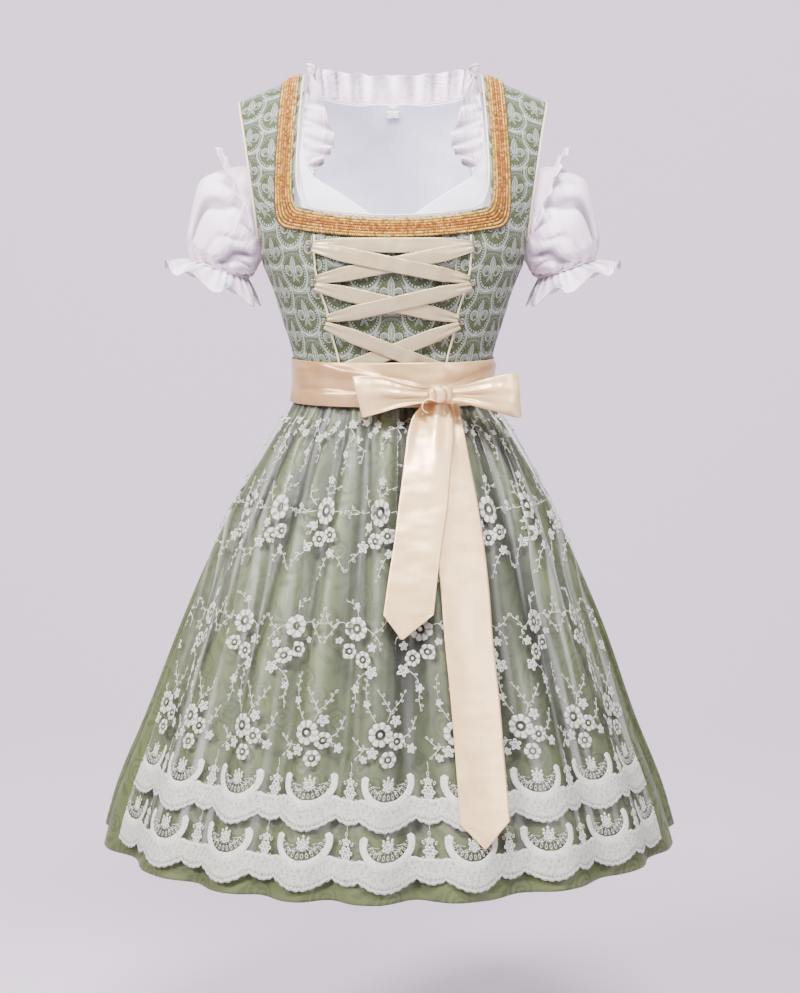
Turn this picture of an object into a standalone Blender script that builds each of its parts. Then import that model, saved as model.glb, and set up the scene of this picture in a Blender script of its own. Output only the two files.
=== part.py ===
"""Dirndl set: a laced bodice with a flared skirt, a lace apron with a satin sash
and bow, and a short white blouse with puff sleeves.

Metres, +Z up, the front faces -Y. The origin is between the shoulder straps, at
the height where they meet the neck opening. "left" is the -X side.
"""

import math

import bmesh
import bpy
import numpy as np
from mathutils import Vector

# ---- driving sizes -------------------------------------------------------
SEAM = 0.0003            # clearance between two pieces that lie on each other
SEAM_EDGE = 0.0004       # from a seam's line to the edge of either piece
CLOTH = 0.0012           # wall of the bodice, skirt and blouse
NET = 0.0010             # wall of the embroidered net and of the ribbons
PIPING_RADIUS = 0.0013
ROUNDNESS = 2.3          # exponent of the torso's oval: 2 is an ellipse

SHOULDER_NECK_X = 0.1135     # where a strap meets the neck opening, z = 0
SHOULDER_SLOPE = 0.415       # fall of the shoulder line outwards
UNDERARM_Z = -0.238
ARCH_START_Z = -0.218        # above this the cloth turns over towards the shoulder
WAIST_SEAM_Z = -0.3835
NECKLINE_CENTRE_Z = -0.1776
NECKLINE_CORNER_X = 0.1210
NECKLINE_CORNER_Z = -0.1640
BACK_NECK_DROP = 0.072
HEM_Z = -0.977
APRON_HEM_Z = -0.957
BLOUSE_HEM_Z = -0.300
BLOUSE_INSET = 0.0035        # the blouse lies this far inside the bodice

BRAID_WIDTH = 0.022
BRAID_INSET = 0.0030         # from the neckline edge to the braid
BRAID_LIFT = 0.0017
BRAID_WALL = 0.0016
BRAID_TURN = 70.0            # arch angle down to which the braid follows a strap
BRAID_MITRE = 7.5            # by which its outer edge runs on to the corner
RIBBON_WIDTH = 0.018
RIBBON_GATHERED = 0.009      # ribbon width where it passes a hook
RIBBON_GATHER_LENGTH = 0.035 # way in which it comes to its full width
RIBBON_CROSSING = 0.0108     # half the height over which two stretches cross
SKIRT_WAVES = 20             # pleat waves round the hem
SCALLOP_PITCH = 0.099        # one large and one small scallop of the lace
SCALLOP_WIDTH = 0.066
SCALLOP_DEPTH = 0.013
SCALLOP_SMALL_DEPTH = 0.006
NECK_RUFFLE_WAVES = 18
NECK_RUFFLE_SWING = 0.0036   # half the width of its waves along its free edge
CUFF_WAVES = 7
HEAD_FRILL_WAVES = 8
HEAD_FRILL_HEIGHT = 0.025
HEAD_FRILL_HALF = 104.0      # half the turn round the sleeve that the frill covers
HEAD_FRILL_SWING = 0.0036
CUFF_SWING = 0.0075


def table(columns, rows):
    """Named columns from rows of numbers, the first column rising."""
    ordered = np.array(sorted(rows), dtype=float)
    return {name: ordered[:, i] for i, name in enumerate(columns.split())}


def read(rows, column, place):
    """Smooth value of a column at a place in the table's first column."""
    keys = next(iter(rows.values()))
    values = rows[column]
    if place <= keys[0]:
        return float(values[0])
    if place >= keys[-1]:
        return float(values[-1])
    i = int(np.searchsorted(keys, place)) - 1
    slopes = np.gradient(values, keys)
    span = keys[i + 1] - keys[i]
    t = (place - keys[i]) / span
    return float((2 * t**3 - 3 * t**2 + 1) * values[i] + (t**3 - 2 * t**2 + t) * span * slopes[i]
                 + (3 * t**2 - 2 * t**3) * values[i + 1] + (t**3 - t**2) * span * slopes[i + 1])


TORSO = table("z half_width front back", [
    (0.000, 0.2400, 0.1280, 0.1080),
    (-0.060, 0.2245, 0.1280, 0.1080),
    (-0.112, 0.2105, 0.1280, 0.1080),
    (-0.160, 0.1960, 0.1280, 0.1080),
    (-0.200, 0.1820, 0.1280, 0.1080),
    (-0.238, 0.1660, 0.1280, 0.1080),
    (-0.271, 0.1525, 0.1225, 0.1030),
    (-0.304, 0.1428, 0.1130, 0.0960),
    (-0.331, 0.1345, 0.1050, 0.0905),
    (-0.354, 0.1285, 0.1000, 0.0880),
    (-0.384, 0.1270, 0.0990, 0.0890),
])
PRINCESS = table("z x", [            # the seam between centre and side front
    (-0.384, 0.0640), (-0.355, 0.0664), (-0.321, 0.0744), (-0.298, 0.0787),
    (-0.265, 0.0883), (-0.237, 0.0947), (-0.203, 0.0956), (-0.150, 0.0956),
])
ARMHOLE = table("z x", [             # front and back edge of the armhole
    (-0.238, 0.1655), (-0.222, 0.1657), (-0.197, 0.1680), (-0.155, 0.1725),
    (-0.112, 0.1785), (-0.075, 0.1840), (-0.033, 0.1925),
])
NECK_EDGE = table("z x", [           # inner edge of the front strap
    (-0.164, 0.1210), (-0.120, 0.1205), (-0.075, 0.1180), (-0.035, 0.1155), (0.0, 0.1135),
])
SKIRT = table("z half_width front back fold shift", [
    (-0.3845, 0.1262, 0.1010, 0.0910, 0.0006, 0.0),
    (-0.4110, 0.1278, 0.1055, 0.0945, 0.0010, 0.0),
    (-0.4400, 0.1440, 0.1210, 0.1100, 0.0028, 0.0),
    (-0.4720, 0.1630, 0.1390, 0.1280, 0.0042, 0.0),
    (-0.5430, 0.2040, 0.1740, 0.1680, 0.0058, 0.0010),
    (-0.6855, 0.2700, 0.2300, 0.2260, 0.0076, 0.0030),
    (-0.8300, 0.3270, 0.2790, 0.2760, 0.0090, 0.0045),
    (-0.9280, 0.3660, 0.3120, 0.3090, 0.0098, 0.0050),
    (-0.9770, 0.3800, 0.3250, 0.3220, 0.0100, 0.0050),
])
APRON = table("z lift edge_angle", [  # height over the skirt, and its side edge
    (-0.3890, 0.0018, 86.0),
    (-0.4110, 0.0020, 86.0),
    (-0.4400, 0.0070, 86.0),
    (-0.4720, 0.0095, 85.0),
    (-0.5430, 0.0085, 81.0),
    (-0.6200, 0.0085, 73.0),
    (-0.7500, 0.0070, 69.5),
    (-0.9800, 0.0060, 67.5),
])
SASH = table("z half_width front back", [
    (-0.4110, 0.1318, 0.1118, 0.0985),
    (-0.3850, 0.1308, 0.1105, 0.0965),
    (-0.3560, 0.1306, 0.1092, 0.0935),
])


# ---- the torso, the skirt and the apron as surfaces ----------------------
def shoulder_z(x):
    return -SHOULDER_SLOPE * max(0.0, abs(x) - SHOULDER_NECK_X)


def power(value, exponent):
    return math.copysign(abs(value) ** exponent, value)


def low_point(angle, z, side, lift=0.0, form=None):
    """Point of the torso below the underarm. angle: 0 in the middle, 90 at the seam."""
    form = form or TORSO
    a = math.radians(angle)
    depth = read(form, "front" if side < 0 else "back", z) + lift
    x = (read(form, "half_width", z) + lift) * power(math.sin(a), 2 / ROUNDNESS)
    y = side * (depth * abs(math.cos(a)) ** (2 / ROUNDNESS) + SEAM_EDGE)
    return Vector((x, y, z))


def side_angle(x, z):
    """The angle at which low_point stands at x."""
    share = min(1.0, abs(x) / read(TORSO, "half_width", z))
    return math.copysign(math.degrees(math.asin(share ** (ROUNDNESS / 2))), x)


def arch_z(x, arch):
    """Height on the arch over the shoulder. arch: 90 at underarm level, 0 on top."""
    top = shoulder_z(x)
    return top - (1 - math.cos(math.radians(arch))) * (top - UNDERARM_Z)


def arch_of(x, z):
    top = shoulder_z(x)
    share = min(1.0, max(0.0, (top - z) / (top - UNDERARM_Z)))
    return math.degrees(math.acos(1 - share))


def arch_point(x, arch, side, lift=0.0):
    """Point of the torso between underarm level and the shoulder line."""
    z = arch_z(x, arch)
    half = read(TORSO, "half_width", z)
    share = min(0.999, abs(x) / half)
    depth = read(TORSO, "front" if side < 0 else "back", z)
    rest = 1 - share ** ROUNDNESS
    slope = depth / half * share ** (ROUNDNESS - 1) * rest ** (1 / ROUNDNESS - 1)
    reach = depth * rest ** (1 / ROUNDNESS) + lift * math.sqrt(1 + slope * slope)
    a = math.radians(arch)
    return Vector((x, side * (reach * math.sin(a) + SEAM_EDGE), z + lift * math.cos(a)))


def torso_point(x, z, side, lift=0.0):
    if z < UNDERARM_Z:
        return low_point(side_angle(x, z), z, side, lift)
    return arch_point(x, arch_of(x, z), side, lift)


def edge_at(edge, arch):
    """x of a boundary at an arch angle: the boundary is given over height."""
    x = read(edge, "x", arch_z(0.15, arch))
    for _ in range(8):
        x = read(edge, "x", arch_z(x, arch))
    return x


def neckline_z(x):
    return (NECKLINE_CENTRE_Z
            + (NECKLINE_CORNER_Z - NECKLINE_CENTRE_Z) * (x / NECKLINE_CORNER_X) ** 2)


def pleat(angle):
    """Wave of the skirt, -1 to 1, uneven round the body."""
    a = math.radians(angle)
    return math.cos(SKIRT_WAVES * a + 1.1 * math.sin(3 * a + 0.6) + 0.7 * math.sin(5 * a + 2.0))


def pleat_strength(angle):
    a = math.radians(angle)
    return 0.78 + 0.22 * math.sin(4 * a + 1.0)


def skirt_point(angle, z, lift=0.0, wave=None):
    """angle: 0 in front, 90 at +X, 180 behind."""
    a = math.radians(angle)
    roundness = 2.0 + (ROUNDNESS - 2.0) * max(0.0, min(1.0, (z + 0.52) / 0.12))
    fold = read(SKIRT, "fold", z) * pleat_strength(angle)
    ripple = fold * (pleat(angle) - 1) if wave is None else fold * (wave - 1)
    depth = read(SKIRT, "front" if abs(angle) <= 90 else "back", z)
    x = (read(SKIRT, "half_width", z) + ripple + lift) * power(math.sin(a), 2 / roundness)
    y = -(depth + ripple + lift) * power(math.cos(a), 2 / roundness)
    return Vector((x - read(SKIRT, "shift", z), y, z))


def apron_point(angle, z, lift=0.0, wave=None):
    return skirt_point(angle, z, read(APRON, "lift", z) + lift, wave)


def skirt_angle(x, z):
    """Angle at which the skirt's front stands at x."""
    low, high = -89.0, 89.0
    for _ in range(30):
        middle = (low + high) / 2
        if apron_point(middle, z, wave=1.0).x < x:
            low = middle
        else:
            high = middle
    return (low + high) / 2


# ---- meshes --------------------------------------------------------------
def clear_scene():
    for item in list(bpy.data.objects):
        bpy.data.objects.remove(item, do_unlink=True)


def srgb(r, g, b):
    return tuple(((c / 255 + 0.055) / 1.055) ** 2.4 for c in (r, g, b)) + (1.0,)


def make_material(name, colour, roughness, metallic=0.0):
    material = bpy.data.materials.new(name)
    material.use_nodes = True
    shader = material.node_tree.nodes["Principled BSDF"]
    shader.inputs["Base Color"].default_value = srgb(*colour)
    shader.inputs["Roughness"].default_value = roughness
    shader.inputs["Metallic"].default_value = metallic
    return material


def finish(name, mesh, material):
    item = bpy.data.objects.new(name, mesh)
    item.data.materials.append(material)
    PARTS.objects.link(item)
    return item


def add_wall(item, thickness, offset):
    wall = item.modifiers.new("Wall", "SOLIDIFY")
    wall.thickness = thickness
    wall.offset = offset
    return item


def sheet_from_grids(name, grids, thickness, material, offset=-1.0, inside=None,
                     closed=False, weld=False):
    """A cloth piece through rows of points. inside(point) gives a place behind the
    cloth, which turns its outer face away from that place."""
    build = bmesh.new()
    for rows in grids:
        verts = [[build.verts.new(point) for point in row] for row in rows]
        width = len(rows[0])
        for r in range(len(rows) - 1):
            for c in range(width if closed else width - 1):
                n = (c + 1) % width
                build.faces.new((verts[r][c], verts[r][n], verts[r + 1][n], verts[r + 1][c]))
    if weld:
        bmesh.ops.remove_doubles(build, verts=build.verts, dist=0.0001)
    bmesh.ops.recalc_face_normals(build, faces=build.faces)
    build.normal_update()
    if inside is not None:
        outward = sum(face.normal.dot(face.calc_center_median() - inside(face.calc_center_median()))
                      * face.calc_area() for face in build.faces)
        if outward < 0:
            bmesh.ops.reverse_faces(build, faces=build.faces)
    mesh = bpy.data.meshes.new(name)
    build.to_mesh(mesh)
    build.free()
    mesh.shade_smooth()
    return add_wall(finish(name, mesh, material), thickness, offset)


def body_axis(point):
    """A place inside the body: level with a low point, under the shoulder of a high one."""
    level = UNDERARM_Z if point.z > ARCH_START_Z else point.z - 0.02
    return Vector((point.x * 0.4, 0.0, level))


def tube(name, points, radius, material, cyclic=False):
    curve = bpy.data.curves.new(name, "CURVE")
    curve.dimensions = "3D"
    curve.bevel_depth = radius
    curve.bevel_resolution = 0
    curve.use_fill_caps = not cyclic
    spline = curve.splines.new("POLY")
    spline.points.add(len(points) - 1)
    for slot, point in zip(spline.points, points):
        slot.co = (point.x, point.y, point.z, 1.0)
    spline.use_cyclic_u = cyclic
    return finish(name, curve, material)


def mirrored(point):
    return Vector((-point.x, point.y, point.z))


def mirror_grid(rows):
    return [[mirrored(point) for point in row] for row in rows]


def spread(start, end, count):
    return [start + (end - start) * i / (count - 1) for i in range(count)]


# ---- bodice --------------------------------------------------------------
LOW_ROWS = (WAIST_SEAM_Z, -0.355, -0.328, -0.298, -0.268)
SIDE_COLUMNS = 7
BACK_COLUMNS = 8
FRONT_ARCHES = table("row inner outer", [     # arch angles of a strap's two edges
    (0, 85.0, 87.0), (1, 79.0, 81.0), (2, 73.3, 74.0), (3, 71.9, 66.0), (4, 61.0, 57.0),
    (5, 50.0, 48.0), (6, 39.0, 38.5), (7, 28.5, 28.5), (8, 18.5, 18.5), (9, 9.0, 9.0),
    (10, 0.0, 0.0),
])
CORNER_ROW = 3
BACK_ARCHES = table("row centre scoop outer", [   # scoop: way along the back neckline
    (0, 86.0, 0, 87.0), (1, 80.0, 0, 81.0), (2, 74.0, 0, 74.0), (3, 66.0, 0, 66.0),
    (4, 57.0, 0, 57.0), (5, 45.8, 0, 48.0), (6, 0, 26.0, 38.5), (7, 0, 46.0, 28.5),
    (8, 0, 62.0, 18.5), (9, 0, 76.0, 9.0), (10, 0, 90.0, 0.0),
])


def side_front_grid():
    rows = []
    for z in LOW_ROWS + (UNDERARM_Z,):
        start = side_angle(read(PRINCESS, "x", z) + SEAM_EDGE, z)
        rows.append([low_point(a, z, -1) for a in spread(start, 90.0, SIDE_COLUMNS)])
    for i in range(len(FRONT_ARCHES["row"])):
        inner, outer = FRONT_ARCHES["inner"][i], FRONT_ARCHES["outer"][i]
        if i < CORNER_ROW:
            x_in = read(PRINCESS, "x", arch_z(0.0956, inner)) + SEAM_EDGE
        else:
            x_in = edge_at(NECK_EDGE, inner)
        x_out = edge_at(ARMHOLE, outer)
        rows.append([arch_point(x, arch, -1) for x, arch in
                     zip(spread(x_in, x_out, SIDE_COLUMNS), spread(inner, outer, SIDE_COLUMNS))])
    return rows


def centre_front_grid(columns=9, levels=9):
    rows = []
    for v in spread(0.0, 1.0, levels):
        row = []
        for u in spread(-1.0, 1.0, columns):
            top = neckline_z(u * 0.0956)
            z = WAIST_SEAM_Z + (top - WAIST_SEAM_Z) * v
            x = u * (read(PRINCESS, "x", z) - SEAM_EDGE)
            row.append(torso_point(x, z, -1))
        rows.append(row)
    return rows


def back_neck(way):
    """x and z on the round back neckline, from its middle to the strap."""
    a = math.radians(way)
    return SHOULDER_NECK_X * math.sin(a), -BACK_NECK_DROP * math.cos(a)


def back_grid():
    rows = []
    for z in LOW_ROWS + (UNDERARM_Z,):
        start = side_angle(SEAM_EDGE, z)
        rows.append([low_point(a, z, 1) for a in spread(start, 90.0, BACK_COLUMNS)])
    for i in range(len(BACK_ARCHES["row"])):
        outer = BACK_ARCHES["outer"][i]
        if BACK_ARCHES["centre"][i]:
            x_in, inner = SEAM_EDGE, BACK_ARCHES["centre"][i]
        else:
            x_in, z_in = back_neck(BACK_ARCHES["scoop"][i])
            inner = arch_of(x_in, z_in)
        x_out = edge_at(ARMHOLE, outer)
        rows.append([arch_point(x, arch, 1) for x, arch in
                     zip(spread(x_in, x_out, BACK_COLUMNS), spread(inner, outer, BACK_COLUMNS))])
    return rows


def build_bodice():
    brocade = make_material("brocade", (158, 168, 140), 0.55)
    cream = make_material("cream_satin", (222, 210, 180), 0.45)
    sheet_from_grids("bodice_front_centre", [centre_front_grid()], CLOTH, brocade, inside=body_axis)
    front = side_front_grid()
    back = back_grid()
    for side, turn in (("right", lambda rows: rows), ("left", mirror_grid)):
        sheet_from_grids("bodice_front_" + side, [turn(front)], CLOTH, brocade, inside=body_axis)
        sheet_from_grids("bodice_back_" + side, [turn(back)], CLOTH, brocade, inside=body_axis)
    build_piping(cream)


def beside_edge(edge, behind, clear):
    """Line that runs just outside the edge of a panel. behind: the panel's points
    one step in from the edge."""
    line = []
    last = len(edge) - 1
    for i, (point, back) in enumerate(zip(edge, behind)):
        ahead = (edge[min(i + 1, last)] - edge[min(i, last - 1)]).normalized()
        past = (edge[max(i, 1)] - edge[max(i - 1, 0)]).normalized()
        along = (ahead + past).normalized()
        inward = back - point
        inward -= along * inward.dot(along)
        line.append(point - inward.normalized() * clear / max(0.5, along.dot(ahead)))
    return line


def build_piping(cream):
    lift = PIPING_RADIUS + SEAM
    heights = [-0.1995] + spread(-0.215, -0.381, 9)
    seam = [torso_point(read(PRINCESS, "x", z), z, -1, lift) for z in heights]
    clear = PIPING_RADIUS + 2 * SEAM
    front, back, centre = side_front_grid(), back_grid(), centre_front_grid()
    low = len(LOW_ROWS)
    corner = low + 1 + CORNER_ROW
    strap = list(reversed(front[corner:]))
    neck = [row[0] for row in strap] + list(reversed(centre[-1]))
    behind = [row[1] for row in strap] + list(reversed(centre[-2]))
    behind[len(strap) - 1] = front[corner - 1][3]
    neck += [mirrored(row[0]) for row in reversed(strap)]
    behind += [mirrored(row[1]) for row in reversed(strap)]
    behind[-len(strap)] = mirrored(front[corner - 1][3])
    tube("neckline_piping", beside_edge(neck, behind, clear), PIPING_RADIUS, cream)
    loop = list(reversed(front[low + 1:])) + [None] + back[low + 1:]
    under = low_point(90.0, UNDERARM_Z, -1)
    under.y = 0.0
    edge = [row[-1] if row else under for row in loop]
    inner = [row[-2] if row else under - Vector((0, 0, 0.02)) for row in loop]
    edge = beside_edge(edge, inner, clear)
    for side, turn in (("right", Vector), ("left", mirrored)):
        tube("princess_piping_" + side, [turn(point) for point in seam], PIPING_RADIUS, cream)
        tube("armhole_piping_" + side, [turn(point) for point in edge], PIPING_RADIUS, cream)


def build_braid():
    gold = make_material("gold_braid", (200, 150, 85), 0.5, 0.3)
    inner = [(edge_at(NECK_EDGE, arch) + BRAID_INSET, arch) for arch in spread(1.0, BRAID_TURN, 10)]
    low = BRAID_INSET + BRAID_WIDTH
    outer = [(x + BRAID_WIDTH, arch + (arch / BRAID_TURN) ** 4 * BRAID_MITRE) for x, arch in inner]
    columns = 3
    right = []
    for (x0, arch0), (x1, arch1) in zip(inner, outer):
        right.append([arch_point(x, arch, -1, BRAID_LIFT) for x, arch in
                      zip(spread(x0, x1, columns), spread(arch0, arch1, columns))])
    corner_in = NECKLINE_CORNER_X + BRAID_INSET
    corner_out = corner_in + BRAID_WIDTH
    bottom = []
    for u in spread(0.97, -0.97, 15):
        x0, x1 = u * corner_in, u * corner_out
        z0 = neckline_z(u * NECKLINE_CORNER_X) - BRAID_INSET
        z1 = neckline_z(u * NECKLINE_CORNER_X) - low
        bottom.append([torso_point(x, z, -1, BRAID_LIFT) for x, z in
                       zip(spread(x0, x1, columns), spread(z0, z1, columns))])
    left = [[mirrored(point) for point in row] for row in reversed(right)]
    sheet_from_grids("neckline_braid", [right + bottom + left], BRAID_WALL, gold, offset=1.0,
                     inside=body_axis)


# ---- lacing --------------------------------------------------------------
HOOKS = table("row x z", [(0, 0.1030, -0.2105), (1, 0.0975, -0.2572), (2, 0.0845, -0.3055)])
LOWEST, UNDER, OVER = 0.0034, 0.0052, 0.0070      # ribbon's height over the bodice
RIBBON_STEP = 0.021                   # way in which a ribbon comes down to its hook
HOOK_REACH = 0.0052                   # a ribbon stops this far from a hook's centre
HOOK_SIDES = 8
HOOK_PROFILE = ((0.0, 0.0), (0.0038, 0.0), (0.0040, 0.0014), (0.0032, 0.0020),
                (0.0022, 0.0013), (0.0012, 0.0019), (0.0, 0.0022))     # radius, height


def ribbon_run(name, start, end, level, material, to_hook=True):
    """One stretch of ribbon from a hook, (x, z) to (x, z). It keeps its level past
    the crossing in the middle and arrives on the lowest level."""
    rows = []
    length = math.hypot(end[0] - start[0], end[1] - start[1])
    across = Vector((-(end[1] - start[1]) / length, (end[0] - start[0]) / length))
    fall = abs(end[1] - start[1]) / length
    crossing = min(0.4 * length, RIBBON_CROSSING / max(0.01, fall))
    for s in spread(0.0, 1.0, 15):
        x = start[0] + (end[0] - start[0]) * s
        z = start[1] + (end[1] - start[1]) * s
        near = min(1.0, (min(s, 1 - s) if to_hook else s) * length / RIBBON_GATHER_LENGTH)
        width = RIBBON_GATHERED + (RIBBON_WIDTH - RIBBON_GATHERED) * near ** 0.8
        blend = min(1.0, max(0.0, ((s - 0.5) * length - crossing) / RIBBON_STEP))
        lift = level + (LOWEST - level) * blend * blend * (3 - 2 * blend)
        rows.append([torso_point(x + across[0] * o * width, z + across[1] * o * width, -1, lift)
                     for o in (-0.5, 0.5)])
    sheet_from_grids(name, [rows], NET, material, offset=1.0, inside=body_axis)


def build_lacing():
    ribbon = make_material("lacing_ribbon", (217, 210, 184), 0.4)
    silver = make_material("antique_silver", (150, 145, 130), 0.35, 0.9)
    hooks = [(HOOKS["x"][i], HOOKS["z"][i]) for i in range(3)]
    right = [(x - HOOK_REACH, z) for x, z in hooks]
    left = [(-x, z) for x, z in right]
    shift = 0.0015                     # the top run hangs a little under its hooks
    ribbon_run("lacing_top", (left[0][0], left[0][1] - shift), (right[0][0], right[0][1] - shift),
               LOWEST, ribbon)
    leave, arrive = 0.0048, 0.0035     # above and below a hook's centre
    waist = (0.0570, -0.3650)
    for i, level in enumerate(("upper", "middle", "lower")):
        over = (OVER, UNDER) if i != 1 else (UNDER, OVER)
        last = i == 2
        right_end = waist if last else (right[i + 1][0], right[i + 1][1] + arrive)
        left_end = (-right_end[0], right_end[1])
        ribbon_run("lacing_%s_to_right" % level, (left[i][0], left[i][1] - leave), right_end,
                   over[0], ribbon, to_hook=not last)
        ribbon_run("lacing_%s_to_left" % level, (right[i][0], right[i][1] - leave), left_end,
                   over[1], ribbon, to_hook=not last)
        for side, sign in (("right", 1), ("left", -1)):
            build_hook("hook_%s_%s" % (level, side), sign * hooks[i][0], hooks[i][1], silver)


def build_hook(name, x, z, material):
    """A round filigree button with a raised rim, turned about its own axis."""
    centre = torso_point(x, z, -1, SEAM * 2)
    beside = torso_point(x + 0.002, z, -1, SEAM * 2) - centre
    below = torso_point(x, z - 0.002, -1, SEAM * 2) - centre
    normal = below.cross(beside).normalized()
    if normal.y > 0:
        normal.negate()
    side = beside.normalized()
    up = normal.cross(side)
    build = bmesh.new()
    middle_back = build.verts.new(centre)
    middle_front = build.verts.new(centre + normal * HOOK_PROFILE[-1][1])
    rings = []
    for radius, height in HOOK_PROFILE[1:-1]:
        ring = []
        for k in range(HOOK_SIDES):
            a = 2 * math.pi * k / HOOK_SIDES
            ring.append(build.verts.new(centre + normal * height
                                        + (side * math.cos(a) + up * math.sin(a)) * radius))
        rings.append(ring)
    for k in range(HOOK_SIDES):
        n = (k + 1) % HOOK_SIDES
        build.faces.new((middle_back, rings[0][n], rings[0][k]))
        build.faces.new((middle_front, rings[-1][k], rings[-1][n]))
        for low, high in zip(rings, rings[1:]):
            build.faces.new((low[k], low[n], high[n], high[k]))
    bmesh.ops.recalc_face_normals(build, faces=build.faces)
    mesh = bpy.data.meshes.new(name)
    build.to_mesh(mesh)
    build.free()
    finish(name, mesh, material)


# ---- skirt and apron -----------------------------------------------------
SKIRT_ROWS = (-0.3848, -0.411, -0.442, -0.485, -0.560, -0.680, -0.830, HEM_Z)
APRON_ROWS = (0.0, 0.040, 0.090, 0.165, 0.300, 0.510, 0.760, 1.0)
APRON_TOP_Z = -0.3890


def skirt_axis(point):
    return Vector((0.0, 0.0, point.z + 0.1))


def build_skirt():
    jacquard = make_material("skirt_jacquard", (150, 165, 125), 0.5)
    columns = 53
    half_gap = 0.14                    # degrees left between the pieces at a side seam
    for name, start in (("skirt_front", -90.0), ("skirt_back", 90.0)):
        angles = spread(start + half_gap, start + 180.0 - half_gap, columns)
        rows = []
        for z in SKIRT_ROWS:
            rows.append([skirt_point(a if a <= 180 else a - 360, z) for a in angles])
        sheet_from_grids(name, [rows], CLOTH, jacquard, inside=skirt_axis)


def scallop(way):
    """Depth of the lace's lower edge at a way along it: a wide scallop, a small one."""
    place = way % SCALLOP_PITCH
    if place < SCALLOP_WIDTH:
        return SCALLOP_DEPTH * math.sin(math.pi * place / SCALLOP_WIDTH)
    rest = (place - SCALLOP_WIDTH) / (SCALLOP_PITCH - SCALLOP_WIDTH)
    return SCALLOP_SMALL_DEPTH * math.sin(math.pi * rest)


def build_apron():
    lace = make_material("apron_lace", (222, 222, 215), 0.7)
    columns = 59
    hem_half = 0.490                   # way round the hem from its middle to an edge
    rows = []
    for share in APRON_ROWS:
        row = []
        for u in spread(-1.0, 1.0, columns):
            low = APRON_HEM_Z - scallop(u * hem_half + SCALLOP_WIDTH / 2) + SCALLOP_DEPTH / 2
            z = APRON_TOP_Z + (low - APRON_TOP_Z) * share
            row.append(apron_point(u * read(APRON, "edge_angle", z), z))
        rows.append(row)
    sheet_from_grids("apron", [rows], NET, lace, inside=skirt_axis)


# ---- sash and bow --------------------------------------------------------
def build_sash():
    satin = make_material("peach_satin", (238, 214, 186), 0.35)
    rows = []
    steps = 46
    for z in (-0.411, -0.384, -0.356):
        row = []
        for i in range(steps):
            angle = -90.0 + 360.0 * i / steps
            if angle < 90.0:
                row.append(low_point(angle, z, -1, form=SASH))
            else:
                row.append(low_point(180.0 - angle, z, 1, form=SASH))
        rows.append(row)
    sheet_from_grids("sash_band", [rows], NET, satin, inside=skirt_axis, closed=True)
    build_loop("bow_loop_left", LEFT_LOOP, satin)
    build_loop("bow_loop_right", RIGHT_LOOP, satin)
    build_knot(satin)
    build_tail("sash_tail_short", SHORT_TAIL, SHORT_TIP, 0.0105, satin)
    build_tail("sash_tail_long", LONG_TAIL, LONG_TIP, 0.0040, satin)


# The ribbon of a loop, out along its front and back behind: its upper and lower
# edge, and the distance of both from the body's middle plane.
LEFT_LOOP = table("step top_x top_z low_x low_z y", [
    (0, 0.0430, -0.3845, 0.0430, -0.4035, -0.1290),
    (1, 0.0300, -0.3835, 0.0290, -0.4045, -0.1335),
    (2, 0.0080, -0.3780, 0.0080, -0.4085, -0.1375),
    (3, -0.0140, -0.3712, -0.0100, -0.4140, -0.1365),
    (4, -0.0360, -0.3702, -0.0270, -0.4195, -0.1320),
    (5, -0.0470, -0.3712, -0.0355, -0.4222, -0.1270),
    (6, -0.0492, -0.3720, -0.0372, -0.4222, -0.1225),
    (7, -0.0440, -0.3730, -0.0320, -0.4200, -0.1185),
    (8, -0.0200, -0.3750, -0.0130, -0.4130, -0.1180),
    (9, 0.0060, -0.3790, 0.0080, -0.4070, -0.1200),
    (10, 0.0280, -0.3840, 0.0280, -0.4035, -0.1215),
    (11, 0.0430, -0.3850, 0.0430, -0.4030, -0.1220),
])
RIGHT_LOOP = table("step top_x top_z low_x low_z y", [
    (0, 0.0735, -0.3840, 0.0735, -0.4020, -0.1280),
    (1, 0.0860, -0.3820, 0.0860, -0.4030, -0.1320),
    (2, 0.1050, -0.3765, 0.1040, -0.4085, -0.1335),
    (3, 0.1240, -0.3715, 0.1240, -0.4140, -0.1310),
    (4, 0.1430, -0.3680, 0.1450, -0.4205, -0.1260),
    (5, 0.1520, -0.3685, 0.1560, -0.4228, -0.1205),
    (6, 0.1545, -0.3700, 0.1590, -0.4200, -0.1155),
    (7, 0.1490, -0.3710, 0.1540, -0.4150, -0.1110),
    (8, 0.1280, -0.3750, 0.1310, -0.4100, -0.1095),
    (9, 0.1060, -0.3790, 0.1070, -0.4060, -0.1120),
    (10, 0.0870, -0.3830, 0.0870, -0.4025, -0.1170),
    (11, 0.0735, -0.3850, 0.0735, -0.4010, -0.1195),
])
SHORT_TAIL = table("z left right", [
    (-0.6480, -0.0105, 0.0473), (-0.6100, -0.0052, 0.0515), (-0.5696, 0.0012, 0.0567),
    (-0.5259, 0.0068, 0.0635), (-0.4949, 0.0107, 0.0660), (-0.4640, 0.0145, 0.0690),
    (-0.4380, 0.0182, 0.0704), (-0.4180, 0.0250, 0.0680), (-0.4065, 0.0340, 0.0630),
])
SHORT_TIP = (0.0110, -0.6770)
LONG_TAIL = table("z left right", [
    (-0.8860, 0.0790, 0.1376), (-0.8260, 0.0748, 0.1326), (-0.7345, 0.0672, 0.1250),
    (-0.6781, 0.0615, 0.1188), (-0.6318, 0.0580, 0.1157), (-0.5790, 0.0530, 0.1102),
    (-0.5263, 0.0465, 0.1024), (-0.4732, 0.0400, 0.0921), (-0.4360, 0.0420, 0.0850),
    (-0.4065, 0.0520, 0.0790),
])
LONG_TIP = (0.1085, -0.9157)


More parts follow.
